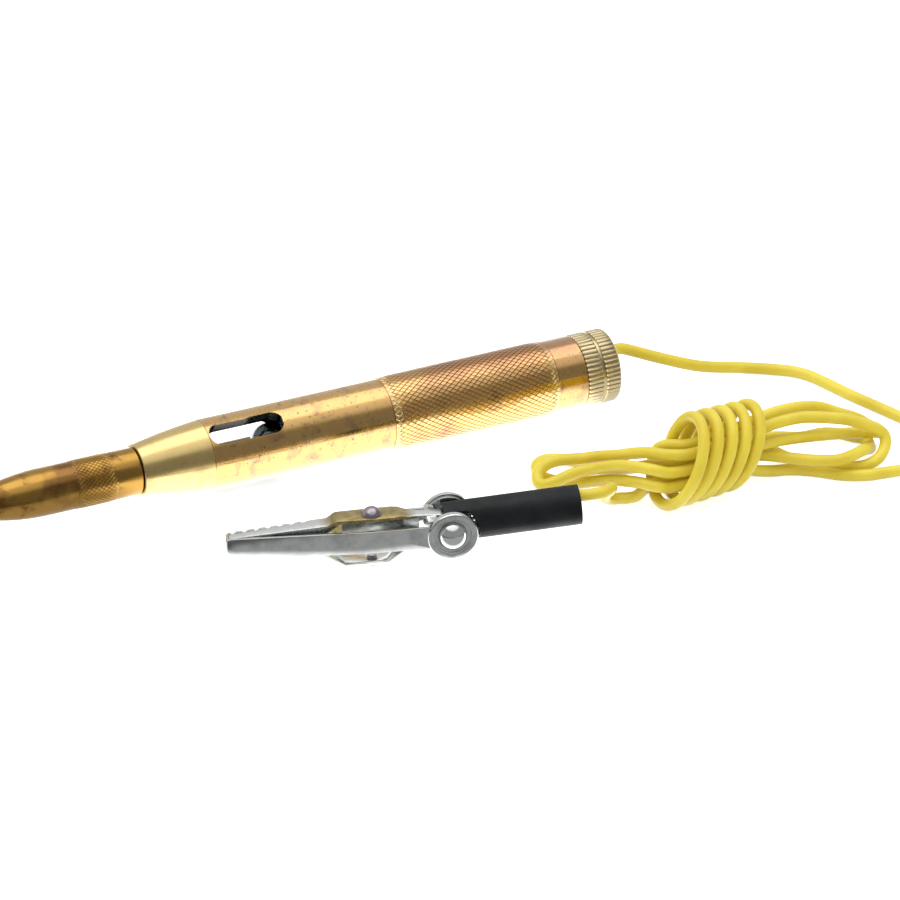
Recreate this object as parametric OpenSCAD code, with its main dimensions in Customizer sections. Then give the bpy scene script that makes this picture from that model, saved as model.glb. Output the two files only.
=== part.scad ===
// Pocket voltage tester: a brass pen with a needle under a front cap and a lamp behind
// three windows, and a yellow lead, wound into a hank, that ends in a spring clip.
// All sizes in millimetres. X runs along the pen from its front to its lead, Z is up,
// and the pen lies on Z = 0 with its middle over the origin.

/* [Pen] */
// front cap, from its tip to the nose cone
cap_len = 33; // [26:0.5:45]
// nose cone
nose_len = 12; // [8:0.5:18]
// barrel between nose cone and rear cap
barrel_len = 69; // [60:1:90]
// rear cap outside the barrel
rear_len = 6.4; // [5:0.2:12]
// barrel diameter
barrel_d = 12.5; // [11.5:0.1:15]
// height that the knurl is raised
knurl_raise = 0.25; // [0.1:0.05:0.4]
// plain barrel in front of the knurled band
plain_len = 33.1; // [25:0.5:50]
// plain barrel behind the knurled band
rear_land = 5.4; // [2:0.1:10]
// barrel bore in front of the lamp
bore_d = 7.9; // [7:0.1:8.2]
// wider barrel bore behind the lamp's seat
seat_bore_d = 8.8; // [8.5:0.1:9.2]

/* [Windows] */
// slot windows round the barrel
window_count = 3; // [2:1:4]
// slot width
window_w = 4.1; // [2:0.1:5]
// slot length over its round ends
window_len = 13.4; // [8:0.2:18]
// barrel left in front of the slots
window_land = 0.2; // [0.2:0.1:3]

/* [Front cap] */
// plain cap diameter
cap_d = 8.1; // [7.4:0.1:9.2]
// cap knurl raised above the plain cap
cap_knurl_raise = 0.12; // [0.05:0.01:0.3]
// from the cap's rear edge to its knurl
cap_knurl_start = 4.6; // [2:0.2:8]
// cap knurl length
cap_knurl_len = 7.2; // [4:0.2:8]
// straight part of the cap, from its rear edge
cap_straight = 16.8; // [14:0.2:19]
// cap bore round the needle
cap_bore_d = 4.6; // [3.4:0.1:5]
// radius of the blunt tip
cap_tip_r = 1.0; // [0.6:0.1:1.5]

/* [Nose and needle] */
// nose cone diameter at its front
nose_d = 9; // [8.2:0.1:10]
// screwed spigot under the front cap
cap_thread_d = 5.6; // [5:0.1:6.2]
// length of that spigot
cap_thread_len = 6; // [3:0.5:9]
// needle diameter
needle_d = 2; // [1.2:0.1:2.6]
// needle in front of the nose cone
needle_out = 26; // [15:0.5:28]
// sharpened part of the needle
needle_point = 5; // [2:0.5:10]
// needle head diameter
needle_head_d = 4; // [3.2:0.1:5]
// needle head thickness
needle_head_t = 1.5; // [0.8:0.1:3]
// spigot that joins the barrel to the nose cone
joint_d = 9.6; // [9.2:0.1:10.2]
// length of that spigot
joint_len = 3.5; // [2:0.1:5]

/* [Lamp] */
// glass diameter
glass_d = 5.9; // [4.5:0.1:6.4]
// from the glass tip to the flange
glass_len = 8.8; // [6:0.2:12]
// from the back of the slots forward to the glass tip
glass_show = 4.5; // [2:0.1:8]
// wall of the glass
glass_wall = 0.4; // [0.3:0.05:0.7]
// base shell diameter
base_d = 7; // [6.8:0.1:7.4]
// base shell behind the flange
base_len = 6.5; // [4:0.5:9]
// flange thickness
flange_t = 0.8; // [0.5:0.1:1.5]
// wall of the base shell
shell_t = 0.35; // [0.25:0.05:0.5]
// height of the glass filament support inside the shell
stem_len = 4; // [2:0.5:6]
// filament span between its two supports
filament_span = 2.2; // [1.2:0.1:3]
// contact at the end of the base
lamp_contact_d = 2.6; // [1.6:0.1:4]

/* [Inside the barrel] */
// wall of the insulating tube
sleeve_wall = 0.8; // [0.4:0.05:0.8]
// contact spring coils
spring_coils = 20; // [8:1:30]
// contact spring wire
spring_wire = 0.6; // [0.4:0.05:0.8]
// contact spring diameter over its wire
spring_d = 5.4; // [3.5:0.1:5.8]
// contact disc diameter
disc_d = 6; // [4:0.1:6.6]
// contact disc thickness
disc_t = 1; // [0.5:0.1:2]

/* [Rear cap] */
// rear cap diameter
rear_d = 12.6; // [12:0.1:13]
// front ribbed band
rib_band_a = 2.9; // [1.5:0.1:3.4]
// plain groove between the ribbed bands
rib_groove = 0.6; // [0.3:0.1:1]
// depth of that groove
rib_groove_depth = 0.35; // [0.1:0.05:0.6]
// edge chamfer
rear_chamfer = 0.5; // [0.2:0.1:1]
// rear cap thread
thread_d = 10; // [9.6:0.1:10.4]
// thread pitch
thread_pitch = 1; // [0.5:0.05:1.5]
// turns that free the cap
thread_turns = 6; // [4:1:8]
// end wall of the rear cap
rear_wall = 2.6; // [1.2:0.1:3]
// bore of the rear cap round the bush
rear_bore_d = 7.6; // [6.8:0.1:8]
// neck of the bush through the end wall
bush_neck_d = 3.6; // [2.8:0.1:4.5]

/* [Lead] */
// lead over its insulation
lead_d = 2; // [1.6:0.1:2]
// bare core
core_d = 1; // [0.6:0.1:1.2]

/* [Clip] */
// jaw length from the pivot to the tip
jaw_len = 37.4; // [34:0.2:42]
// half width of the lower jaw at its tip
tip_half = 1.3; // [1.2:0.1:1.6]
// half width of the lower jaw at its ears
jaw_half = 3.5; // [3.4:0.1:4]
// sheet thickness
sheet_t = 0.5; // [0.4:0.05:0.6]
// height of the pivot above the table
pivot_z = 6.5; // [6.3:0.1:7]
// ear diameter
ear_d = 8.5; // [8:0.1:9.5]
// rolled rim of the lower jaw's ears, its width
ear_rim_w = 1.2; // [0.8:0.1:1.3]
// rolled rim, how far it stands out
ear_rim_h = 0.5; // [0.3:0.05:0.8]
// pivot rivet diameter
pivot_d = 2.4; // [1.8:0.1:2.6]
// pivot rivet heads
pivot_head_d = 5; // [4:0.1:5.4]
// height of the pivot rivet heads
pivot_head_h = 1.8; // [0.6:0.1:2.2]
// teeth along the jaw edges
teeth = 7; // [4:1:9]
// tooth pitch
tooth_pitch = 2; // [1.4:0.1:2.2]
// tooth depth
tooth_depth = 0.4; // [0.3:0.05:0.7]
// raised strap of each jaw, its width
strap_w = 3.6; // [3:0.1:4.8]
// jaw rivet shank
rivet_d = 1.6; // [1.2:0.1:2]
// jaw rivet head
rivet_head_d = 3.4; // [2.6:0.1:4]
// height of the jaw rivet head
rivet_head_h = 1.4; // [1:0.1:1.5]

/* [Clip spring] */
// clip spring coils
clip_coils = 4; // [3:1:4]
// clip spring wire
clip_wire = 0.6; // [0.5:0.05:0.65]
// clip spring mean radius
clip_coil_r = 1.7; // [1.6:0.05:1.8]

/* [Clip sleeve] */
// outside radius of the rubber sleeve
rubber_r = 3.35; // [3.3:0.05:3.8]
// wall of the rubber sleeve
rubber_wall = 0.45; // [0.3:0.05:0.5]
// sleeve length
rubber_len = 22.8; // [20:0.2:32]
// slope of the sleeve
rubber_tilt = 3.1; // [2:0.1:4]

/* [Fits] */
// radial clearance of a running fit
run_fit = 0.05; // [0.03:0.01:0.1]
// radial clearance of a fixed fit
fixed_fit = 0.01; // [0:0.01:0.03]
// gap between faces that only just touch
face_gap = 0.05; // [0.02:0.01:0.1]
// gap beside a moving sheet
side_gap = 0.1; // [0.08:0.01:0.15]

/* [Hidden] */
$fn = 48;
cut = 1;                      // how far a cutting tool runs past the face that it cuts
brass = "darkgoldenrod";
steel = "silver";
yellow = "gold";

// stations along the pen
pen_len = cap_len + nose_len + barrel_len + rear_len;
thread_len = thread_pitch * thread_turns;
knurl_len = barrel_len - plain_len - rear_land;
knurl_d = barrel_d + 2 * knurl_raise;
axis_z = max(knurl_d, rear_d) / 2;
x_tip = -pen_len / 2;
x_nose = x_tip + cap_len;
x_barrel = x_nose + nose_len;
x_rear = x_barrel + barrel_len;
x_end = x_rear + rear_len;
x_window = x_barrel + window_land;
x_glass = x_window + window_len - glass_show;
x_seat = x_glass + glass_len;
x_base_end = x_seat + flange_t + base_len;
x_counter = x_rear - thread_len - face_gap;
x_wall = x_end - rear_wall;
bush_len = x_wall - x_rear + disc_t;
x_disc = x_rear - disc_t;
contact_h = 0.5;
x_spring = x_base_end + contact_h + face_gap;

// a shape drawn along z, laid along the pen from station x
module along(x) translate([x, 0, axis_z]) rotate([0, 90, 0]) children();

// a ring profile of [radius, station] points, turned about the pen's axis from station x
module turned(x, pts) along(x) rotate_extrude() polygon(pts);

// one slot window, cut outwards from the axis
module slot(angle) translate([x_window, 0, axis_z]) rotate([angle - 90, 0, 0])
    linear_extrude(barrel_d) {
        translate([window_w / 2, -window_w / 2]) square([window_len - window_w, window_w]);
        for (x = [window_w / 2, window_len - window_w / 2]) translate([x, 0]) circle(d = window_w);
    }

module barrel() color(brass) difference() {
    union() {
        along(x_barrel) cylinder(d = barrel_d, h = barrel_len);
        along(x_barrel + plain_len) cylinder(d = knurl_d, h = knurl_len);
        along(x_barrel - joint_len) cylinder(d = joint_d - 2 * fixed_fit, h = joint_len + cut);
    }
    along(x_barrel - joint_len - cut) cylinder(d = bore_d, h = barrel_len + joint_len + 2 * cut);
    along(x_seat) cylinder(d = seat_bore_d, h = barrel_len);
    along(x_counter) cylinder(d = thread_d, h = thread_len + cut);
    for (i = [0:window_count - 1]) slot(i * 360 / window_count);
}

module nose_cone() {
    back_d = barrel_d - 0.1;
    bulge = 0.35;             // the cone's flank is slightly full
    flank = [for (i = [0:8]) let (t = i / 8)
        [(nose_d + (back_d - nose_d) * t) / 2 + bulge * 4 * t * (1 - t) / 2, nose_len * t]];
    color(brass) difference() {
        union() {
            turned(x_nose, concat([[0, 0]], flank, [[0, nose_len]]));
            along(x_nose - cap_thread_len) cylinder(d = cap_thread_d, h = cap_thread_len + cut);
        }
        along(x_nose - cap_thread_len - cut) cylinder(d = needle_d + 2 * fixed_fit, h = pen_len);
        along(x_barrel - joint_len - face_gap) cylinder(d = joint_d, h = pen_len);
        along(x_barrel - joint_len - needle_head_t - 2 * face_gap)
            cylinder(d = needle_head_d + 2 * fixed_fit, h = pen_len);
    }
}

module needle() {
    head_x = x_barrel - joint_len - needle_head_t - 2 * face_gap;
    tip = x_nose - needle_out;
    color(steel) turned(tip, [[0, 0], [0.1, 0], [needle_d / 2, needle_point],
        [needle_d / 2, head_x - tip], [needle_head_d / 2, head_x - tip],
        [needle_head_d / 2, head_x - tip + needle_head_t], [0, head_x - tip + needle_head_t]]);
}

// the cap's outline and bore, with stations counted forward from its rear edge
module front_cap() {
    r = cap_d / 2;
    nose_run = cap_len - cap_straight - cap_tip_r;
    curve_r = (nose_run * nose_run + pow(r - cap_tip_r, 2)) / (2 * (r - cap_tip_r));
    ogive = [for (i = [0:10]) let (s = nose_run * i / 10)
        [r - curve_r + sqrt(curve_r * curve_r - s * s), cap_straight + s]];
    tip = [for (a = [22.5, 45, 67.5]) [cap_tip_r * cos(a), cap_len - cap_tip_r + cap_tip_r * sin(a)]];
    k = r + cap_knurl_raise;
    k0 = cap_knurl_start;
    k1 = cap_knurl_start + cap_knurl_len;
    lip = 0.25;
    thread_depth = cap_thread_len + 0.5;
    bore_end = needle_out + 1;
    outer = concat([[0, 0], [r - lip, 0], [r, lip], [r, k0], [k, k0], [k, k1], [r, k1]], ogive, tip,
        [[0, cap_len]]);
    color(steel) translate([x_nose - face_gap, 0, axis_z]) rotate([0, -90, 0]) difference() {
        rotate_extrude() polygon([for (p = outer) [p[0], min(p[1], cap_len - face_gap)]]);
        translate([0, 0, -cut]) cylinder(d = cap_thread_d + 2 * run_fit, h = thread_depth + cut);
        cylinder(d = cap_bore_d, h = min(bore_end, cap_straight + 2));
        cylinder(d = needle_d + 1, h = bore_end);
    }
}

// lamp: a midget bulb with a round-ended glass, a flanged shell and an end contact
module lamp_glass() {
    r = glass_d / 2;
    ri = r - glass_wall;
    n = 8;
    root = glass_len + flange_t;
    outer = [for (i = [0:n]) let (a = 90 * i / n) [r * sin(a), r - r * cos(a)]];
    inner = [for (i = [n:-1:0]) let (a = 90 * i / n) [ri * sin(a), glass_wall + ri - ri * cos(a)]];
    color("lightcyan", 0.5) turned(x_glass, concat(outer, [[r, root], [ri, root]], inner));
}

module lamp_base() color(brass) turned(x_seat, [
    [glass_d / 2 + fixed_fit, 0], [seat_bore_d / 2 - run_fit, 0],
    [seat_bore_d / 2 - run_fit, flange_t], [base_d / 2, flange_t],
    [base_d / 2, flange_t + base_len], [base_d / 2 - shell_t, flange_t + base_len],
    [base_d / 2 - shell_t, flange_t + face_gap], [glass_d / 2 + fixed_fit, flange_t + face_gap]]);

module lamp_filament() {
    // two supports that stand in the base filling, and the wire between them
    wire = 0.3;
    top = x_glass + glass_wall + glass_d / 2;
    foot = x_seat + flange_t + face_gap;
    color("dimgray") {
        for (s = [-1, 1]) translate([0, s * filament_span / 2, 0]) along(top) cylinder(d = wire, h = foot - top);
        translate([top, 0, axis_z]) rotate([90, 0, 0])
            cylinder(d = wire, h = filament_span + wire, center = true);
    }
}

module lamp_insulator() {
    bore = 2 * (base_d / 2 - shell_t - fixed_fit);
    color("black") {
        along(x_base_end - stem_len) cylinder(d = bore, h = stem_len);
        along(x_seat + flange_t + 2 * face_gap) cylinder(d = 3.6, h = base_len - stem_len);
    }
}

module lamp_contact() color("gainsboro") along(x_base_end + fixed_fit)
    cylinder(d1 = lamp_contact_d, d2 = lamp_contact_d * 0.7, h = contact_h - fixed_fit);

module insulating_tube() {
    x0 = x_seat + flange_t + face_gap;
    r = seat_bore_d / 2 - run_fit;
    color("sienna") turned(x0, [[r - sleeve_wall, 0], [r, 0], [r, x_counter - x0], [r - sleeve_wall, x_counter - x0]]);
}

module contact_disc() color(brass) turned(x_disc, [[0, 0], [disc_d / 2, 0], [disc_d / 2, disc_t - face_gap],
    [0, disc_t - face_gap]]);

// solder cone on the back of the disc, round the bare core
solder_len = 1.4;
module disc_solder() color("gainsboro") turned(x_rear, [[core_d / 2 + fixed_fit, 0], [1.3, 0],
    [core_d / 2 + 0.2, solder_len], [core_d / 2 + fixed_fit, solder_len]]);

inlet_x = x_rear + 2;
module lead_core_front() color("orangered") along(x_rear) cylinder(d = core_d, h = inlet_x - x_rear - face_gap);

module rear_bush() {
    // a head inside the cap with a hollow for the solder, and a neck through the end wall
    head_r = rear_bore_d / 2 - run_fit;
    hollow = inlet_x - x_rear;
    color("black") turned(x_rear, [[1.6, 0], [head_r, 0], [head_r, x_wall - x_rear - face_gap],
        [bush_neck_d / 2, x_wall - x_rear - face_gap], [bush_neck_d / 2, x_end - x_rear],
        [lead_d / 2 + fixed_fit, x_end - x_rear], [lead_d / 2 + fixed_fit, hollow - face_gap],
        [1.6, hollow - face_gap]]);
}

module rear_cap() {
    r = rear_d / 2;
    g = r - rib_groove_depth;
    a = rib_band_a;
    b = rib_band_a + rib_groove;
    c = rear_chamfer;
    color(brass) difference() {
        union() {
            turned(x_rear, [[0, face_gap], [r - c / 2, face_gap], [r, c], [r, a], [g, a], [g, b], [r, b],
                [r, rear_len - c], [r - c, rear_len], [0, rear_len]]);
            along(x_rear - thread_len) cylinder(d = thread_d - 2 * run_fit, h = thread_len + cut);
        }
        along(x_rear - thread_len - cut) cylinder(d = rear_bore_d, h = thread_len + cut + rear_len - rear_wall);
        along(x_rear) cylinder(d = bush_neck_d + 2 * run_fit, h = rear_len + cut);
    }
}

module lead_inlet() color(yellow) along(inlet_x) cylinder(d = lead_d, h = x_end - inlet_x);

// swept tubes: a ring square to the path at each point, all faces triangles
function unit(v) = v / norm(v);
function tangent(p, i) = unit(p[min(i + 1, len(p) - 1)] - p[max(i - 1, 0)]);
function square_to(n, t) = unit(n - (n * t) * t);
function first_side(t) = square_to(abs(t[2]) < 0.9 ? [0, 0, 1] : [1, 0, 0], t);
function side_list(p) = [for (i = 0, n = first_side(tangent(p, 0)); i < len(p);
    i = i + 1, n = i < len(p) ? square_to(n, tangent(p, i)) : n) n];
module tube(p, d, sides) {
    ns = side_list(p);
    last = len(p) - 1;
    pts = [for (i = [0:last]) let (t = tangent(p, i), n = ns[i], b = cross(t, n))
        for (k = [0:sides - 1]) let (a = 360 * (k + 0.5) / sides) p[i] + d / 2 * (cos(a) * n + sin(a) * b)];
    walls = [for (i = [0:last - 1]) for (k = [0:sides - 1])
        let (a = i * sides + k, b = i * sides + (k + 1) % sides)
        for (f = [[a, a + sides, b], [b, a + sides, b + sides]]) f];
    ends = [for (k = [1:sides - 2]) for (f = [[0, k, k + 1],
        [last * sides, last * sides + k + 1, last * sides + k]]) f];
    polyhedron(points = pts, faces = concat(walls, ends), convexity = 10);
}
// a smooth curve through hand-placed points, with steps rings in each span
function smooth(p, steps) = [for (i = [0:len(p) - 1]) let (
        a = p[max(i - 1, 0)], b = p[i], c = p[min(i + 1, len(p) - 1)], e = p[min(i + 2, len(p) - 1)])
    for (k = [0:(i < len(p) - 1 ? steps : 1) - 1]) let (t = k / steps)
        b + t * (c - a) / 2 + t * t * (a - 2.5 * b + 2 * c - 0.5 * e)
            + t * t * t * (-0.5 * a + 1.5 * b - 1.5 * c + 0.5 * e)];

// contact spring: 8 rings to a coil, closed turns at its ends
module contact_spring() {
    r = (spring_d - spring_wire) / 2;
    x0 = x_spring + spring_wire / 2;
    run = x_disc - face_gap - spring_wire / 2 - x0;
    n = spring_coils * 8;
    pitch = (run - 2 * spring_wire * 1.1) / (spring_coils - 2);
    function climb(t) = t < 1 ? spring_wire * 1.1 * t : t > spring_coils - 1
        ? run - spring_wire * 1.1 * (spring_coils - t) : spring_wire * 1.1 + pitch * (t - 1);
    color(steel) tube([for (i = [0:n]) let (a = 45 * i)
        [x0 + climb(i / 8), r * sin(a), axis_z + r * cos(a)]], spring_wire, 6);
}

// clip frame: origin on the table below the jaw rivets, x towards the sleeve
clip_at = [0.3, -35, 0];
clip_turn = -15;
pivot_x = 13;
module clip_frame() translate(clip_at) rotate([0, 0, clip_turn]) children();
module at_pivot() translate([pivot_x, 0, pivot_z]) rotate([90, 0, 0]) children();
// a side outline of [x, z] points, w wide about the clip's middle
module side(pts, w) rotate([90, 0, 0]) linear_extrude(w, center = true) polygon(pts);
// a plan outline given by its half width at stations along the clip, from z up by h
module plan(stations, z, h) translate([0, 0, z]) linear_extrude(h)
    polygon(concat(stations, [for (i = [len(stations) - 1:-1:0]) [stations[i][0], -stations[i][1]]]));

tip_x = pivot_x - jaw_len;
wide_x = -2;                  // jaw is at its full width from here to the ears
ear_x = pivot_x - ear_d / 2;  // front of the ears
ear_in = jaw_half - sheet_t;
floor_z = pivot_z - 2.1;      // underside of the lower jaw
edge_z = pivot_z + 1.9;       // top edge of its walls
strap_low = rivet_head_h;     // underside of its strap
strap_top = pivot_z + 3.5;    // top of the upper jaw's strap
foot_t = 0.5;                 // closed end of a jaw rivet
tail_end = pivot_x + 10.5;
tail_w = 2.2;
lever_w = 2;
lever_top = pivot_z + 2.7;
lever_end = pivot_x + 8;

module clip_lower_jaw() {
    outer = [[tip_x, tip_half - 0.6], [tip_x + 0.2, tip_half - 0.2], [tip_x + 0.7, tip_half],
        [wide_x, jaw_half - 0.2], [ear_x + 1, jaw_half], [pivot_x, jaw_half]];
    inner = [[tip_x + sheet_t, tip_half - sheet_t], [wide_x, jaw_half - 0.2 - sheet_t],
        [ear_x + 1, ear_in], [pivot_x + cut, ear_in]];
    strap = [[-9, floor_z], [-4.9, strap_low], [2.7, strap_low], [6.8, floor_z], [6.8, floor_z + sheet_t],
        [2.4, strap_low + sheet_t], [-4.6, strap_low + sheet_t], [-9, floor_z + sheet_t]];
    tail_z = pivot_z - 1.5;
    tail = [[ear_x - 0.5, floor_z], [ear_x + 1.5, pivot_z - 2.7], [pivot_x + 2.3, pivot_z - 2.7],
        [pivot_x + 4.4, tail_z], [tail_end, tail_z], [tail_end, tail_z + sheet_t],
        [pivot_x + 4.4, tail_z + sheet_t], [pivot_x + 2.2, pivot_z - 2.7 + sheet_t],
        [ear_x + 1.6, pivot_z - 2.7 + sheet_t], [ear_x - 0.4, floor_z + sheet_t]];
    color(steel) clip_frame() difference() {
        union() {
            difference() {
                intersection() {
                    plan(outer, floor_z, ear_d);
                    side([[tip_x, pivot_z - 0.3], [tip_x + 0.15, pivot_z - 0.8], [tip_x + 0.5, pivot_z - 1.3],
                        [tip_x + 1.2, floor_z + 0.4], [tip_x + 3, floor_z], [pivot_x, floor_z],
                        [pivot_x, edge_z], [wide_x, edge_z], [tip_x + 0.8, edge_z - 0.35],
                        [tip_x + 0.3, edge_z - 0.6], [tip_x, edge_z - 1]], 4 * jaw_half);
                }
                plan(inner, floor_z + sheet_t, ear_d);
                // the floor is open between the jaw's front and its ears, where the strap is pressed out
                plan([[-9, strap_w / 2], [6.8, strap_w / 2]], floor_z - cut, ear_d);
                plan([[ear_x - 0.3, ear_in], [pivot_x + cut, ear_in]], floor_z - cut, ear_d);
                // teeth in the wall on the pen's side
                for (i = [0:teeth - 1]) translate([tip_x + 0.8 + i * tooth_pitch, 2 * jaw_half,
                        edge_z - 0.4 + 0.018 * i * tooth_pitch])
                    side([[0, 0.1], [tooth_pitch * 0.3, -tooth_depth], [tooth_pitch * 0.6, 0.1]], 4 * jaw_half);
            }
            side(strap, strap_w + 0.4);
            side(tail, tail_w);
            for (s = [-1, 1]) translate([0, s * (ear_in + sheet_t / 2), 0]) at_pivot() {
                cylinder(d = ear_d, h = sheet_t, center = true);
                translate([0, 0, -s * (sheet_t + ear_rim_h) / 2]) difference() {
                    cylinder(d = ear_d, h = ear_rim_h + 0.02, center = true);
                    cylinder(d = ear_d - 2 * ear_rim_w, h = ear_rim_h + cut, center = true);
                }
            }
        }
        at_pivot() cylinder(d = pivot_d + 2 * fixed_fit, h = 4 * jaw_half, center = true);
        translate([0, 0, -cut]) cylinder(d = rivet_d + 2 * fixed_fit, h = pivot_z);
    }
}

module clip_upper_jaw() {
    half_tip = tip_half - sheet_t - side_gap;
    half = min(jaw_half - 0.2 - sheet_t - side_gap, strap_w / 2 + 0.1);
    ear_out = ear_in - side_gap;
    top_tip = edge_z - 0.4;
    neck_x = 6.1;
    outer = [[tip_x + sheet_t + side_gap, half_tip], [-8, half - 0.6], [-5.2, half - 0.25]];
    inner = [[tip_x + 2 * sheet_t, half_tip - 0.45], [-8, half - 0.6 - sheet_t], [-5.2, half - 0.25 - sheet_t]];
    web = [[tip_x + sheet_t + side_gap, top_tip - sheet_t], [tip_x + sheet_t + side_gap, top_tip - 0.15],
        [-7.6, strap_top - 0.9], [-5.9, strap_top], [4.5, strap_top], [neck_x, strap_top - 0.45],
        [pivot_x - 1.5, lever_top], [lever_end, lever_top], [lever_end, lever_top - sheet_t],
        [pivot_x - 1.5, lever_top - sheet_t], [neck_x, strap_top - 0.45 - sheet_t],
        [4.4, strap_top - sheet_t], [-5.7, strap_top - sheet_t], [-7.4, strap_top - 0.9 - sheet_t]];
    color(steel) clip_frame() difference() {
        union() {
            // front channel
            difference() {
                intersection() {
                    plan(outer, pivot_z, ear_d);
                    side([[tip_x, edge_z - 1.2], [-5.2, edge_z - 1.2], [-5.2, strap_top], [-5.9, strap_top],
                        [-7.6, strap_top - 0.9], [tip_x, top_tip - 0.15]], 4 * jaw_half);
                }
                intersection() {
                    plan(inner, pivot_z - cut, ear_d);
                    side([[tip_x, edge_z - 3], [-5, edge_z - 3], [-5, strap_top - sheet_t - 0.05],
                        [-5.7, strap_top - sheet_t], [-7.4, strap_top - 0.9 - sheet_t],
                        [tip_x, top_tip - 0.15 - sheet_t]], 4 * jaw_half);
                }
            }
            // strap over the rivet, neck and lever
            intersection() {
                side(web, 4 * jaw_half);
                plan([[-6.5, half - 0.25], [0, half], [3.5, half], [neck_x + 1, lever_w / 2], [lever_end, lever_w / 2]],
                    pivot_z, ear_d);
            }
            // bridge and ears
            translate([pivot_x - 3.2, 0, lever_top + 0.02 - sheet_t / 2])
                cube([1.6, 2 * ear_out, sheet_t], center = true);
            for (s = [-1, 1]) translate([0, s * (ear_out - sheet_t / 2), 0]) at_pivot()
                cylinder(d = ear_d - 0.6, h = sheet_t - 0.05, center = true);
        }
        at_pivot() cylinder(d = pivot_d + 2 * run_fit, h = 4 * jaw_half, center = true);
        translate([0, 0, pivot_z]) cylinder(d = rivet_d + 2 * fixed_fit, h = pivot_z);
    }
}

module clip_pivot() color(steel) clip_frame() at_pivot() {
    reach = jaw_half + face_gap;
    r = pivot_head_d / 2;
    ball = (r * r + pivot_head_h * pivot_head_h) / (2 * pivot_head_h);
    cylinder(d = pivot_d, h = 2 * reach + 0.02, center = true);
    for (s = [0, 1]) mirror([0, 0, s]) translate([0, 0, reach]) intersection() {
        translate([0, 0, pivot_head_h - ball]) sphere(ball);
        cylinder(r = r, h = pivot_head_h + cut);
    }
}

// jaw rivet: domed head away from the jaw, shank through the strap and a closed end inside
module jaw_rivet() {
    r = rivet_head_d / 2;
    grip = sheet_t + 2 * face_gap;
    rotate_extrude() polygon(concat(
        [[0, -rivet_head_h + face_gap]],
        [for (a = [15:15:75]) [r * sin(a), -(rivet_head_h - face_gap) * cos(a)]],
        [[r, 0], [rivet_d / 2, 0], [rivet_d / 2, grip], [rivet_d * 0.8, grip], [rivet_d * 0.7, grip + foot_t],
            [0, grip + foot_t]]));
}
module clip_lower_rivet() color(steel) clip_frame() translate([0, 0, strap_low - face_gap]) jaw_rivet();
module clip_upper_rivet() color(steel) clip_frame() translate([0, 0, strap_top + face_gap]) mirror([0, 0, 1]) jaw_rivet();

module clip_spring() {
    leg_x = lever_end - 1.2;
    span = clip_coils * (clip_wire + 0.1);
    low = pivot_z - clip_coil_r;
    turns = clip_coils + 0.5;
    n = turns * 8;
    coil = [for (i = [0:n]) let (a = 360 * turns * i / n)
        [pivot_x - clip_coil_r * sin(a), -span / 2 + span * i / n, pivot_z + clip_coil_r * cos(a)]];
    top_z = lever_top - sheet_t - clip_wire / 2 - face_gap;
    low_z = pivot_z - 1.5 + sheet_t + clip_wire / 2 + face_gap;
    path = concat([[leg_x, -span / 2, top_z], [leg_x - 1, -span / 2, top_z], [pivot_x + 2, -span / 2, top_z - 0.1]], coil,
        [[pivot_x + 1.5, span / 2, low + 0.1], [pivot_x + 4.6, span / 2, low_z], [leg_x - 1, span / 2, low_z],
            [leg_x, span / 2, low_z]]);
    color(steel) clip_frame() tube(path, clip_wire, 6);
}

module clip_sleeve() {
    x0 = pivot_x - 1;
    z0 = pivot_z + 0.7;
    color("#202020") clip_frame() difference() {
        translate([x0, 0, z0]) rotate([0, 90 - rubber_tilt, 0]) difference() {
            cylinder(r = rubber_r, h = rubber_len);
            translate([0, 0, -cut]) cylinder(r = rubber_r - rubber_wall, h = rubber_len + 2 * cut);
        }
        // clear of the ears, and open below them
        for (s = [-1, 1]) translate([0, s * (1.9 + jaw_half), 0]) at_pivot()
            cylinder(d = ear_d + 0.6, h = 2 * jaw_half, center = true);
        translate([x0 - cut, -2 * jaw_half, -cut]) cube([5.7 + cut, 4 * jaw_half, pivot_z + cut]);
    }
}

// the lead inside the sleeve, from the solder on the jaw's tail to the sleeve's end
core_z = pivot_z - 1.5 + sheet_t + core_d / 2 + face_gap;
outlet_x = tail_end + 1.5;
outlet_end = [36, 1.26, 9.3];
module clip_solder() color("gainsboro") clip_frame() translate([tail_end - 1.8, 0, pivot_z - 1.5 + sheet_t])
    rotate([0, 90, 0]) difference() {
        intersection() {
            cylinder(r = 1.1, h = 1.6);
            translate([-2, -2, 0]) cube([2, 4, 2]);
        }
        translate([-core_d / 2 - face_gap, 0, -cut]) cylinder(d = core_d + 2 * fixed_fit, h = 4);
    }
module lead_core_rear() color("orangered") clip_frame() translate([tail_end - 1.6, 0, core_z]) rotate([0, 90, 0])
    cylinder(d = core_d, h = outlet_x - tail_end + 1.6 - face_gap);
outlet_path = [[outlet_x, 0, core_z], [outlet_x + 2, 0, core_z], [outlet_x + 3.6, 0.2, core_z + 0.5],
    [outlet_x + 5.4, 0.6, core_z + 1.6], [outlet_x + 7.2, 1, core_z + 2.7], outlet_end - [2, 0, 0], outlet_end];
module lead_outlet() color(yellow) clip_frame() tube(outlet_path, lead_d, 8);

// route of the lead, on the middle of the lead, by hand in round millimetres
// from the rear cap over the table, round and back to the hank
lead_route = [
    [60.2, 0, 6.5], [62.2, 0, 6.5], [63, 0.9, 7], [63.5, 2.1, 7.5], [64.9, 2.8, 7.3], [67, 2.1, 6.5],
    [70.5, 0.5, 5], [77, -1.7, 3],
    [84.3, -2.7, 1.5], [89.5, -4.8, 1], [94, -9, 1], [97.6, -18.4, 1], [101.8, -28.7, 1],
    [104.6, -36, 1], [104.2, -42, 1], [100.5, -45, 1], [94, -44.9, 1], [90, -44.4, 1]];
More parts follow.
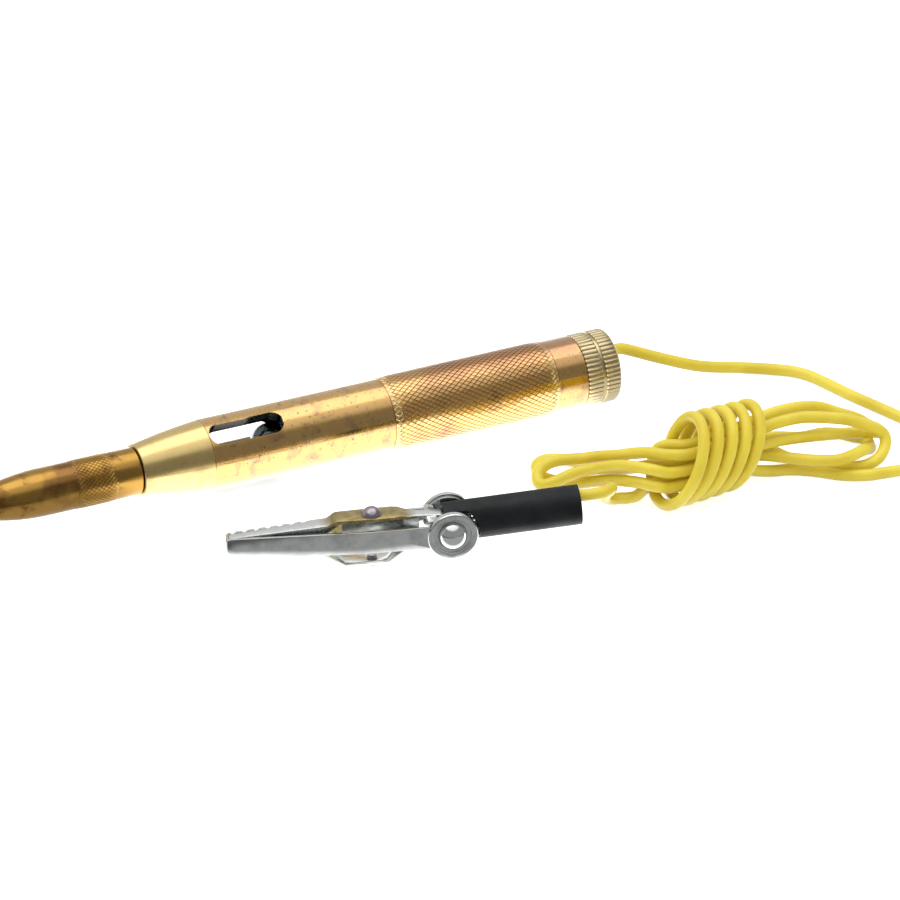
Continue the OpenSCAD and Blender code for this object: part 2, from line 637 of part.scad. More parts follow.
// into the hank: low along the front and through the wraps
run_in = [
    [90, -44.4, 1], [87.5, -44, 1], [83.8, -42.2, 1], [80.3, -39.2, 1], [76.8, -37, 1],
    [73.6, -36.4, 1.2], [70.5, -36.6, 2.1], [67.6, -37, 3.4], [65, -37.4, 4], [61.5, -37.9, 4],
    [58, -38.5, 4], [55.5, -38.7, 4], [53, -38.6, 4.1], [50.8, -38.5, 4.8], [48.6, -36.2, 4.9],
    [46.6, -32.2, 3.7], [44.5, -29, 2.4], [42.4, -26.4, 1.2]];
// left loop on the table
left_under = [
    [40.4, -24.8, 1], [38.4, -23, 1], [37.6, -20.6, 1], [38.2, -18.2, 1], [40, -16.8, 1],
    [42.2, -17.2, 1]];
// back through the wraps behind, then under the right loops
run_back = [
    [44.5, -19, 1], [46.5, -22.2, 1.1], [48.2, -26.4, 2.2], [49.8, -30.6, 4.4], [51.4, -33.6, 6.1],
    [53.4, -34.8, 6.5], [58, -35.6, 6.6], [62.5, -34.9, 6.6], [67, -34.2, 6.6], [70, -33.2, 6.3],
    [73, -32, 4.6], [76, -32.4, 2.3], [79, -34.6, 1], [82.4, -37.6, 1], [85.5, -40, 1]];
// outer right loop
right_outer = [
    [88.6, -41, 1], [91.4, -40.9, 1.8], [93.4, -39.4, 3.1], [93.6, -38.3, 4.6], [92, -38, 6]];
// over the top to the left
run_top = [
    [89.8, -37.2, 7], [87.3, -36.3, 7.9], [84, -35.5, 8.6], [79.9, -34.9, 9.3], [75.2, -35.2, 9.6],
    [71, -35.9, 9.5], [67, -36.6, 9.3], [62.5, -37.4, 9.3], [58, -38.1, 9.3], [55.8, -37.6, 9.2],
    [53.4, -36.2, 9.1], [51.4, -34.3, 9], [49.8, -31.2, 7.6], [48.3, -28.4, 6.1],
    [46.3, -25.9, 5.1], [43.7, -24.9, 4.8], [41.4, -24, 4.7]];
// left loop that lies on the other
left_over = [
    [39.2, -23, 4.3], [37.2, -22.7, 3.4], [35.8, -23.7, 2.4], [35.6, -25.4, 2], [36.9, -26.8, 2.6]];
// through the middle to the right
run_middle = [
    [39.5, -27.2, 3.5], [42, -27.6, 4.1], [44.6, -29.4, 5.1], [46.6, -32.2, 6.5],
    [48.5, -35.2, 7.4], [50.8, -37.7, 7.5], [53, -38.3, 6.8], [55.4, -38.5, 6.6], [58, -38.4, 6.6],
    [62.5, -37.7, 6.6], [67, -37, 6.7], [71, -36.1, 6.6], [75, -35.6, 6.3], [79.5, -35.4, 5.8],
    [84, -35.4, 5.2], [88, -35.1, 4.4]];
// turn below the outer loop
right_turn = [
    [91, -35.3, 3.9], [93, -35.8, 3.8], [94.6, -35, 3], [95.1, -33.4, 2.7], [94, -31.9, 3]];
// high at the back to the left
run_high = [
    [92.2, -30.9, 4.2], [88.4, -30.2, 6], [85.5, -30.3, 7.6], [81.9, -30.5, 8.6],
    [76.7, -31.3, 9.3], [72, -32.7, 9.5], [67, -33.9, 9.3], [62.5, -34.7, 9.3], [58, -35.3, 9.4]];
// turn behind the left end into the wraps
tuck = [
    [56, -33.6, 9], [54.4, -32.1, 8.1]];
// off the last wrap to the right
run_off = [
    [70.2, -28.7, 5.2], [73.5, -29, 3.8], [77.4, -30, 3.6], [81.4, -31.4, 3.3], [85.8, -30.4, 2.5],
    [89.2, -30.4, 1.6]];
// inner right loop
right_inner = [
    [91.6, -31.5, 1], [93, -33.3, 1], [92.6, -35.4, 1], [91.7, -37.2, 1.7]];
// last run through the wraps and up into the clip's sleeve
run_out = [
    [90.2, -38.7, 2.7], [88.5, -40.1, 3.5], [86, -41.5, 3.9], [83, -41.9, 3.9], [79.4, -40.3, 3.9],
    [76.2, -38, 3.9], [73.2, -35.6, 3.9], [70, -34.3, 4], [66.5, -34.4, 4], [62.5, -35.2, 4],
    [58, -36, 4], [55.5, -36.1, 4], [53, -36, 4], [50.7, -35.7, 3.7], [48.8, -34.9, 1.5],
    [46, -33.5, 1], [43.6, -34.2, 2], [42.4, -36.6, 4.4], [41.8, -39.6, 7], [40.6, -42.2, 8.9],
    [38.8, -43.6, 9.4], [37.3, -43.6, 9.4], [35.4, -43.1, 9.3]];

// wraps: five turns about the runs, leaning, each a little further right than the last
wrap_x = [54.8, 57.7, 60.6, 63.4, 66.2, 69];
wrap_lean = 2.8;
wrap_side = 6.2;
wrap_from = -0.2;
wrap_to = 4.75;
wrap_rings = 24;
function wrap_point(t) = let (
        i = max(0, min(floor(t), len(wrap_x) - 2)),
        x = wrap_x[i] + (wrap_x[i + 1] - wrap_x[i]) * (t - i),
        y = -35.4 - 0.16 * (69 - x),
        r = 7.1 - 0.16 * max(t, 0))
    [x - wrap_lean * cos(360 * t), y - wrap_side * sin(360 * t), 1 + r - r * cos(360 * t)];
wraps = let (n = ceil((wrap_to - wrap_from) * wrap_rings))
    [for (k = [0:n]) wrap_point(wrap_from + (wrap_to - wrap_from) * k / n)];
before_wraps = concat(run_in, left_under, run_back, right_outer, run_top, left_over, run_middle,
    right_turn, run_high, tuck, [wraps[0]]);
after_wraps = concat([wraps[len(wraps) - 1]], run_off, right_inner, run_out);
function middle(p) = [for (i = [1:len(p) - 2]) p[i]];
function head(p) = [for (i = [0:len(p) - 2]) p[i]];
function rest(p) = [for (i = [1:len(p) - 1]) p[i]];

// nowhere below the table
function laid(p) = [for (q = p) [q[0], q[1], max(q[2], lead_d / 2)]];

module lead_free() color(yellow) tube(laid(smooth(lead_route, 2)), lead_d, 8);

module lead_hank() {
    path = laid(concat(head(smooth(before_wraps, 2)), wraps, rest(smooth(after_wraps, 2))));
    away = [for (i = 0, s = 0; i < len(path); i = i + 1,
        s = i < len(path) ? s + norm(path[i] - path[i - 1]) : s) s];
    near = [for (i = [0:len(path) - 2]) min(concat([99], [for (j = [i + 1:len(path) - 1])
        if (away[j] - away[i] > 4.5 * lead_d) norm(path[j] - path[i])]))];
    echo(hank_rings = len(path), hank_length = away[len(path) - 1], least_gap = min(near) - lead_d);
    color(yellow) tube(path, lead_d, 6);
}

barrel();
nose_cone();
needle();
front_cap();
lamp_glass();
lamp_base();
lamp_filament();
lamp_insulator();
lamp_contact();
insulating_tube();
contact_spring();
contact_disc();
disc_solder();
lead_core_front();
rear_bush();
rear_cap();
lead_inlet();
lead_free();
lead_hank();
lead_outlet();
lead_core_rear();
clip_solder();
clip_lower_jaw();
clip_upper_jaw();
clip_pivot();
clip_spring();
clip_lower_rivet();
clip_upper_rivet();
clip_sleeve();
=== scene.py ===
import math

import bmesh
import bpy
from mathutils import Matrix, Vector


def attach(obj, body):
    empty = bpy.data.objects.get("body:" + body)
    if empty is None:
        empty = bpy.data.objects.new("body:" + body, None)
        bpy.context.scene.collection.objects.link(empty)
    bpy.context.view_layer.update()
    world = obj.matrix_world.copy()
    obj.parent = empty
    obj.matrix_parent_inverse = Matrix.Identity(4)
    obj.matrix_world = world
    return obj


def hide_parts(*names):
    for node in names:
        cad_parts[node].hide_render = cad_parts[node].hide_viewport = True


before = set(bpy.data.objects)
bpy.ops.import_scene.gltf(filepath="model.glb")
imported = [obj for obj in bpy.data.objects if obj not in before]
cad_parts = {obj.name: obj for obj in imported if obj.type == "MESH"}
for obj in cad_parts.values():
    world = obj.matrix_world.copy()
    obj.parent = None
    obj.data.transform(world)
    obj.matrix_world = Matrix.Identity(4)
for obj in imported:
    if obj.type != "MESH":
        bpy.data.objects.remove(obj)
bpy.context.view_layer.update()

# Camera: a long lens, well above the table and to the left of the pen's side, with its place, aim and
# focal length fitted to the photograph. Lengths are in metres, or in millimetres times MM, but routes,
# outlines and values that end in _mm are in plain millimetres.
MM = 0.001
scene = bpy.context.scene
scene.view_settings.view_transform = "Standard"
camera = bpy.data.objects.new("camera", bpy.data.cameras.new("camera"))
scene.collection.objects.link(camera)
camera.location = Vector((-463.1, -1073.9, 674.6)) * MM
aim = Vector((26.48, -8.97, 2.26)) * MM
camera.rotation_euler = (aim - camera.location).to_track_quat("-Z", "Y").to_euler()
camera.data.sensor_width = 36
camera.data.lens = 320
scene.camera = camera

# Lead: thin stranded flex in a soft yellow PVC sheath, extruded, so it is smooth with a low sheen.
# It leaves the rear cap, rounds the table's right side, is folded and wrapped into a hank by hand,
# and ends inside the clip's sleeve. The route repeats the one of the part's own source.
LEAD_D = 2 * MM
LEAD_OUT = [
    (60.2, 0, 6.5), (61.1, 0, 6.5), (61.7, 0.8, 6.8), (62, 1.9, 7.1), (62.9, 2.8, 7.2), (64.5, 2.9, 7),
    (66.6, 2.2, 6.3), (70.5, 0.5, 5), (77, -1.7, 3),
    (84.3, -2.7, 1.5), (89.5, -4.8, 1), (94, -9, 1), (97.6, -18.4, 1), (101.8, -28.7, 1),
    (104.6, -36, 1), (104.2, -42, 1), (100.5, -45, 1), (94, -44.9, 1), (90, -44.4, 1)]
RUN_IN = [
    (90, -44.4, 1), (87.5, -44, 1), (83.8, -42.2, 1), (80.3, -39.2, 1), (76.8, -37, 1),
    (73.6, -36.4, 1.2), (70.5, -36.6, 2.1), (67.6, -37, 3.4), (65, -37.4, 4), (61.5, -37.9, 4),
    (58, -38.5, 4), (55.5, -38.7, 4), (53, -38.6, 4.1), (50.8, -38.5, 4.8), (48.6, -36.2, 4.9),
    (46.6, -32.2, 3.7), (44.5, -29, 2.4), (42.4, -26.4, 1.2)]
LEFT_UNDER = [
    (40.4, -24.8, 1), (38.4, -23, 1), (37.6, -20.6, 1), (38.2, -18.2, 1), (40, -16.8, 1),
    (42.2, -17.2, 1)]
RUN_BACK = [
    (44.5, -19, 1), (46.5, -22.2, 1.1), (48.2, -26.4, 2.2), (49.8, -30.6, 4.4), (51.4, -33.6, 6.1),
    (53.4, -34.8, 6.5), (58, -35.6, 6.6), (62.5, -34.9, 6.6), (67, -34.2, 6.6), (70, -33.2, 6.3),
    (73, -32, 4.6), (76, -32.4, 2.3), (79, -34.6, 1), (82.4, -37.6, 1), (85.5, -40, 1)]
RIGHT_OUTER = [
    (88.6, -41, 1), (91.4, -40.9, 1.8), (93.4, -39.4, 3.1), (93.6, -38.3, 4.6), (92, -38, 6)]
RUN_TOP = [
    (89.8, -37.2, 7), (87.3, -36.3, 7.9), (84, -35.5, 8.6), (79.9, -34.9, 9.3), (75.2, -35.2, 9.6),
    (71, -35.9, 9.5), (67, -36.6, 9.3), (62.5, -37.4, 9.3), (58, -38.1, 9.3), (55.8, -37.6, 9.2),
    (53.4, -36.2, 9.1), (51.4, -34.3, 9), (49.8, -31.2, 7.6), (48.3, -28.4, 6.1),
    (46.3, -25.9, 5.1), (43.7, -24.9, 4.8), (41.4, -24, 4.7)]
LEFT_OVER = [
    (39.2, -23, 4.3), (37.2, -22.7, 3.4), (35.8, -23.7, 2.4), (35.6, -25.4, 2), (36.9, -26.8, 2.6)]
RUN_MIDDLE = [
    (39.5, -27.2, 3.5), (42, -27.6, 4.1), (44.6, -29.4, 5.1), (46.6, -32.2, 6.5),
    (48.5, -35.2, 7.4), (50.8, -37.7, 7.5), (53, -38.3, 6.8), (55.4, -38.5, 6.6), (58, -38.4, 6.6),
    (62.5, -37.7, 6.6), (67, -37, 6.7), (71, -36.1, 6.6), (75, -35.6, 6.3), (79.5, -35.4, 5.8),
    (84, -35.4, 5.2), (88, -35.1, 4.4)]
RIGHT_TURN = [
    (91, -35.3, 3.9), (93, -35.8, 3.8), (94.6, -35, 3), (95.1, -33.4, 2.7), (94, -31.9, 3)]
RUN_HIGH = [
    (92.2, -30.9, 4.2), (88.4, -30.2, 6), (85.5, -30.3, 7.6), (81.9, -30.5, 8.6),
    (76.7, -31.3, 9.3), (72, -32.7, 9.5), (67, -33.9, 9.3), (62.5, -34.7, 9.3), (58, -35.3, 9.4)]
TUCK = [(56, -33.6, 9), (54.4, -32.1, 8.1)]
RUN_OFF = [
    (70.2, -28.7, 5.2), (73.5, -29, 3.8), (77.4, -30, 3.6), (81.4, -31.4, 3.3), (85.8, -30.4, 2.5),
    (89.2, -30.4, 1.6)]
RIGHT_INNER = [(91.6, -31.5, 1), (93, -33.3, 1), (92.6, -35.4, 1), (91.7, -37.2, 1.7)]
RUN_OUT = [
    (90.2, -38.7, 2.7), (88.5, -40.1, 3.5), (86, -41.5, 3.9), (83, -41.9, 3.9), (79.4, -40.3, 3.9),
    (76.2, -38, 3.9), (73.2, -35.6, 3.9), (70, -34.3, 4), (66.5, -34.4, 4), (62.5, -35.2, 4),
    (58, -36, 4), (55.5, -36.1, 4), (53, -36, 4), (50.7, -35.7, 3.7), (48.8, -34.9, 1.5),
    (46, -33.5, 1), (43.6, -34.2, 2), (42.4, -36.6, 4.4), (41.8, -39.6, 7), (40.6, -42.2, 8.9),
    (38.8, -43.6, 9.4), (37.3, -43.6, 9.4), (35.4, -43.1, 9.3)]
WRAP_X = [54.8, 57.7, 60.6, 63.4, 66.2, 69]
WRAP_Y, WRAP_SLANT = -35.4, 0.16
WRAP_LEAN, WRAP_SIDE = 2.8, 6.2
WRAP_R, WRAP_TIGHTER = 7.1, 0.16
WRAP_FROM, WRAP_TO, POINTS_A_TURN = -0.2, 4.75, 48


def wrap_point(t):
    """The place of the wraps' middle line after t turns, in millimetres."""
    i = max(0, min(math.floor(t), len(WRAP_X) - 2))
    x = WRAP_X[i] + (WRAP_X[i + 1] - WRAP_X[i]) * (t - i)
    y = WRAP_Y - WRAP_SLANT * (WRAP_X[-1] - x)
    r = WRAP_R - WRAP_TIGHTER * max(t, 0)
    turn = 2 * math.pi * t
    return (x - WRAP_LEAN * math.cos(turn), y - WRAP_SIDE * math.sin(turn), 1 + r - r * math.cos(turn))


def smooth_route(points, steps):
    """A smooth curve through the given points, in metres, and nowhere below the table."""
    p = [Vector(q) for q in points]
    found = []
    for i in range(len(p) - 1):
        a, b, c, e = p[max(i - 1, 0)], p[i], p[i + 1], p[min(i + 2, len(p) - 1)]
        for k in range(steps):
            t = k / steps
            found.append(b + t * (c - a) / 2 + t * t * (a - 2.5 * b + 2 * c - 0.5 * e)
                         + t * t * t * (-0.5 * a + 1.5 * b - 1.5 * c + 0.5 * e))
    found.append(p[-1])
    return [Vector((q.x, q.y, max(q.z, LEAD_D / MM / 2))) * MM for q in found]


wrap_steps = round((WRAP_TO - WRAP_FROM) * POINTS_A_TURN)
wraps = [wrap_point(WRAP_FROM + (WRAP_TO - WRAP_FROM) * k / wrap_steps) for k in range(wrap_steps + 1)]
before_wraps = (RUN_IN + LEFT_UNDER + RUN_BACK + RIGHT_OUTER + RUN_TOP + LEFT_OVER + RUN_MIDDLE
                + RIGHT_TURN + RUN_HIGH + TUCK + [wraps[0]])
after_wraps = [wraps[-1]] + RUN_OFF + RIGHT_INNER + RUN_OUT
CLIP_PLACE, CLIP_TURN = Vector((0.3, -35, 0)) * MM, math.radians(-15)
CLIP_AT = Matrix.Translation(CLIP_PLACE) @ Matrix.Rotation(CLIP_TURN, 4, "Z")
IN_SLEEVE = [(36, 1.26, 9.3), (34, 1.26, 9.3), (32.2, 1, 8.75), (30.4, 0.6, 7.65), (28.6, 0.2, 6.55),
             (27, 0, 6.05), (25, 0, 6.05)]
lead_line = (smooth_route(LEAD_OUT, 6) + smooth_route(before_wraps, 5)[1:-1]
             + [Vector(q) * MM for q in wraps] + smooth_route(after_wraps, 5)[1:]
             + [CLIP_AT @ q for q in smooth_route(IN_SLEEVE, 5)[1:]])
lead_curve = bpy.data.curves.new("lead", "CURVE")
lead_curve.dimensions = "3D"
lead_curve.bevel_depth = LEAD_D / 2
lead_curve.bevel_resolution = 5
lead_curve.use_fill_caps = True
spline = lead_curve.splines.new("POLY")
spline.points.add(len(lead_line) - 1)
for point, place in zip(spline.points, lead_line):
    point.co = (*place, 1)
spline.use_smooth = True
lead = bpy.data.objects.new("lead", lead_curve)
scene.collection.objects.link(lead)


def linear(hex_colour):
    """An sRGB hex colour as Blender's linear colour."""
    channels = [int(hex_colour[i:i + 2], 16) / 255 for i in (1, 3, 5)]
    return tuple(c / 12.92 if c <= 0.04045 else ((c + 0.055) / 1.055) ** 2.4 for c in channels) + (1,)


def add(material, kind, inputs, stops=(), **settings):
    """A node with its settings, or the shader or output node of that name that the material has.
    The inputs are its sockets' values, or the sockets that feed them."""
    tree = material.node_tree
    node = tree.nodes.get(kind) or tree.nodes.new(kind)
    for name, value in settings.items():
        setattr(node, name, value)
    for name, value in inputs.items():
        if isinstance(value, bpy.types.NodeSocket):
            tree.links.new(value, node.inputs[name])
        else:
            node.inputs[name].default_value = value
    for _ in stops[2:]:        # a new ramp has two stops
        node.color_ramp.elements.new(0.5)
    for i, (position, colour) in enumerate(stops):
        node.color_ramp.elements[i].position = position
        node.color_ramp.elements[i].color = colour
    return node


def new_material(name):
    """An empty material, whose nodes add() sets."""
    material = bpy.data.materials.new(name)
    material.use_nodes = True
    return material


# Plasticised PVC: an even colour, a little dirtier in broad patches where hands have held it, a low
# sheen with drag marks from the die, drawn coarser than real ones so that they show, and a soft look
# because light goes a short way into it.
GRIME_MM, DRAG_MM = 11.1, 0.4
yellow_pvc = new_material("yellow_pvc")
where = add(yellow_pvc, "ShaderNodeTexCoord", {}).outputs["Object"]
handling = add(yellow_pvc, "ShaderNodeTexNoise", {"Vector": where, "Scale": 1000 / GRIME_MM, "Detail": 3})
sheath = add(yellow_pvc, "ShaderNodeValToRGB", {"Fac": handling.outputs["Fac"]},
             stops=[(0.3, linear("#DCC42C")), (0.62, linear("#F0DE4C"))])
drag = add(yellow_pvc, "ShaderNodeTexNoise", {"Vector": where, "Scale": 1000 / DRAG_MM, "Detail": 2})
skin = add(yellow_pvc, "ShaderNodeBump", {
    "Height": drag.outputs["Fac"], "Strength": 0.12, "Distance": 0.03 * MM})
add(yellow_pvc, "Principled BSDF", {
    "Base Color": sheath.outputs["Color"], "Roughness": 0.38, "IOR": 1.52, "Normal": skin.outputs["Normal"],
    "Subsurface Weight": 0.35, "Subsurface Radius": (1.2 * MM, 0.8 * MM, 0.2 * MM), "Subsurface Scale": 0.6})
lead_curve.materials.append(yellow_pvc)
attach(lead, "lead_end")
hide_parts("lead_free", "lead_hank", "lead_outlet")


def dress(name, material):
    """Gives a CAD node that is shown as it is its material."""
    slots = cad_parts[name].data.materials
    slots.clear()
    slots.append(material)


dress("lead_inlet", yellow_pvc)

# Table and light: a white sweep that the camera sees as white, and one large soft lamp above and a
# little behind. The room is dim on the camera's side, which draws the dark band on the brass, and has
# a bright card overhead, which draws the light one.
table_mesh = bpy.data.meshes.new("table")
bm = bmesh.new()
bmesh.ops.create_grid(bm, x_segments=1, y_segments=1, size=3)
bm.to_mesh(table_mesh)
bm.free()
table = bpy.data.objects.new("table", table_mesh)
scene.collection.objects.link(table)


def grey(level):
    """A linear grey, where 1 is white."""
    return (level, level, level, 1)


def in_clip_frame(material, where):
    """A place's X, Y and Z in the clip's own frame."""
    local = add(material, "ShaderNodeMapping", {
        "Vector": where, "Location": CLIP_PLACE, "Rotation": (0, 0, CLIP_TURN)}, vector_type="TEXTURE")
    return add(material, "ShaderNodeSeparateXYZ", {"Vector": local.outputs["Vector"]}).outputs


# Matt white board: the camera sees it glow as white, and whiter far away. In the metal it shows as a
# bright painted reflection, painted dim in front of the clip and under the pen's two caps, so that they
# stay brown.
white_table = new_material("white_table")
where = add(white_table, "ShaderNodeTexCoord", {}).outputs["Object"]
ray = add(white_table, "ShaderNodeLightPath", {}).outputs
matt = add(white_table, "Principled BSDF", {
    "Base Color": grey(0.85), "Roughness": 0.9, "Specular IOR Level": 0.0})
far = add(white_table, "ShaderNodeVectorMath", {0: where}, operation="LENGTH")
glow = add(white_table, "ShaderNodeMapRange", {
    "Value": far.outputs["Value"], "From Min": 0.15, "From Max": 0.6, "To Min": 0.72, "To Max": 1.2})
shown = add(white_table, "ShaderNodeEmission", {"Color": grey(1), "Strength": glow.outputs["Result"]})
seen = add(white_table, "ShaderNodeMixShader", {0: ray["Is Camera Ray"], 2: shown.outputs["Emission"]})
both = add(white_table, "ShaderNodeAddShader", {0: matt.outputs["BSDF"], 1: seen.outputs["Shader"]})
# Painted reflection: the table's image in the metal is bright, and painted dim before the clip and under the
# caps.
MIRRORED, PAINTED_DIM_BEFORE_CLIP = 2.6, 0.38
PEN_END = 60
PAINTED_REFLECTION_ALONG_PEN = ((-32.4, 0.3), (-26.4, 1), (56.4, 1), (58.2, 0.45))        # x in millimetres, and the share
strength = add(white_table, "ShaderNodeMapRange", {
    "Value": in_clip_frame(white_table, where)["Y"], "From Min": -8.5 * MM, "From Max": -3 * MM,
    "To Min": PAINTED_DIM_BEFORE_CLIP, "To Max": MIRRORED})
place = add(white_table, "ShaderNodeSeparateXYZ", {"Vector": where})
along_pen = add(white_table, "ShaderNodeMapRange", {
    "Value": place.outputs["X"], "From Min": -PEN_END * MM, "From Max": PEN_END * MM})
painted_dim_under_caps = add(white_table, "ShaderNodeValToRGB", {"Fac": along_pen.outputs["Result"]},
                 stops=[((x + PEN_END) / (2 * PEN_END), grey(share)) for x, share in PAINTED_REFLECTION_ALONG_PEN])
painted_reflection = add(white_table, "ShaderNodeEmission", {
    "Color": painted_dim_under_caps.outputs["Color"], "Strength": strength.outputs["Result"]})
either = add(white_table, "ShaderNodeMixShader", {
    0: ray["Is Glossy Ray"], 1: both.outputs["Shader"], 2: painted_reflection.outputs["Emission"]})
add(white_table, "Material Output", {"Surface": either.outputs["Shader"]})
table_mesh.materials.append(white_table)

lamp_data = bpy.data.lights.new("softbox", "AREA")
lamp_data.shape = "RECTANGLE"
lamp_data.size = 1.6
lamp_data.size_y = 0.8
lamp_data.energy = 4.6
softbox = bpy.data.objects.new("softbox", lamp_data)
scene.collection.objects.link(softbox)
softbox.location = (0, 0.25, 1.0)
softbox.rotation_euler = (Vector((0, 0, 0)) - softbox.location).to_track_quat("-Z", "Y").to_euler()

room = bpy.data.worlds.new("room")
scene.world = room
room.use_nodes = True
facing = add(room, "ShaderNodeTexCoord", {}).outputs["Generated"]
parts = add(room, "ShaderNodeSeparateXYZ", {"Vector": facing}).outputs
dim = add(room, "ShaderNodeValToRGB", {"Fac": parts["Y"]},
          stops=[(0.0, grey(0.28)), (0.25, grey(0.45)), (0.65, grey(0.72))])
card = add(room, "ShaderNodeValToRGB", {"Fac": parts["Z"]},
           stops=[(0.64, grey(0)), (0.8, grey(0.9)), (0.92, grey(1.12))])
lit = add(room, "ShaderNodeMix", {0: 1.0, 6: dim.outputs["Color"], 7: card.outputs["Color"]},
          data_type="RGBA", blend_type="LIGHTEN")
ray = add(room, "ShaderNodeLightPath", {}).outputs
seen = add(room, "ShaderNodeMath", {0: ray["Is Camera Ray"], 1: ray["Is Transmission Ray"]},
           operation="MAXIMUM")
fill = add(room, "ShaderNodeMix", {0: ray["Is Diffuse Ray"], 6: lit.outputs[2], 7: grey(0.86)},
           data_type="RGBA")
shade = add(room, "ShaderNodeMix", {0: seen.outputs["Value"], 6: fill.outputs[2], 7: grey(1)},
            data_type="RGBA")
add(room, "Background", {"Color": shade.outputs[2], "Strength": 1.0})

# Barrel: a turned and bored brass tube, tarnished brown where the lacquer has gone, with three
# milled slots. The outline is turned about the pen's axis, and milled by boolean cutters.
AXIS_Z = 6.5 * MM
MERGE = 0.0005 * MM


def turned(outline, steps):
    """A new mesh: a closed outline of (x, radius), in millimetres, turned about the pen's axis."""
    bm = bmesh.new()
    ring = [bm.verts.new((x * MM, 0, AXIS_Z + r * MM)) for x, r in outline]
    edges = [bm.edges.new((a, b)) for a, b in zip(ring, ring[1:] + ring[:1])]
    bmesh.ops.spin(bm, geom=ring + edges, cent=(0, 0, AXIS_Z), axis=(1, 0, 0), angle=2 * math.pi,
                   steps=steps, use_merge=True)
    bmesh.ops.remove_doubles(bm, verts=bm.verts, dist=MERGE)
    bmesh.ops.recalc_face_normals(bm, faces=bm.faces)
    return bm


def smooth(mesh, crease):
    """Shades a mesh smooth, up to edges of that many degrees."""
    mesh.polygons.foreach_set("use_smooth", [True] * len(mesh.polygons))
    mesh.set_sharp_from_angle(angle=math.radians(crease))


def new_piece(name, bm, material, body, nodes, crease=35):
    """Makes the finished mesh a piece on its body, in place of its CAD nodes."""
    mesh = bpy.data.meshes.new(name)
    bm.to_mesh(mesh)
    bm.free()
    smooth(mesh, crease)
    mesh.materials.append(material)
    piece = bpy.data.objects.new(name, mesh)
    scene.collection.objects.link(piece)
    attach(piece, body)
    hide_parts(*nodes)
    return piece


def cut_with(piece, cutter):
    """Takes the cutter's shape out of a piece, and removes the cutter."""
    modifier = piece.modifiers.new("cut", "BOOLEAN")
    modifier.object = cutter
    modifier.solver = "EXACT"
    done = bpy.data.meshes.new_from_object(piece.evaluated_get(bpy.context.evaluated_depsgraph_get()))
    piece.modifiers.remove(modifier)
    piece.data = done
    bpy.data.objects.remove(cutter)


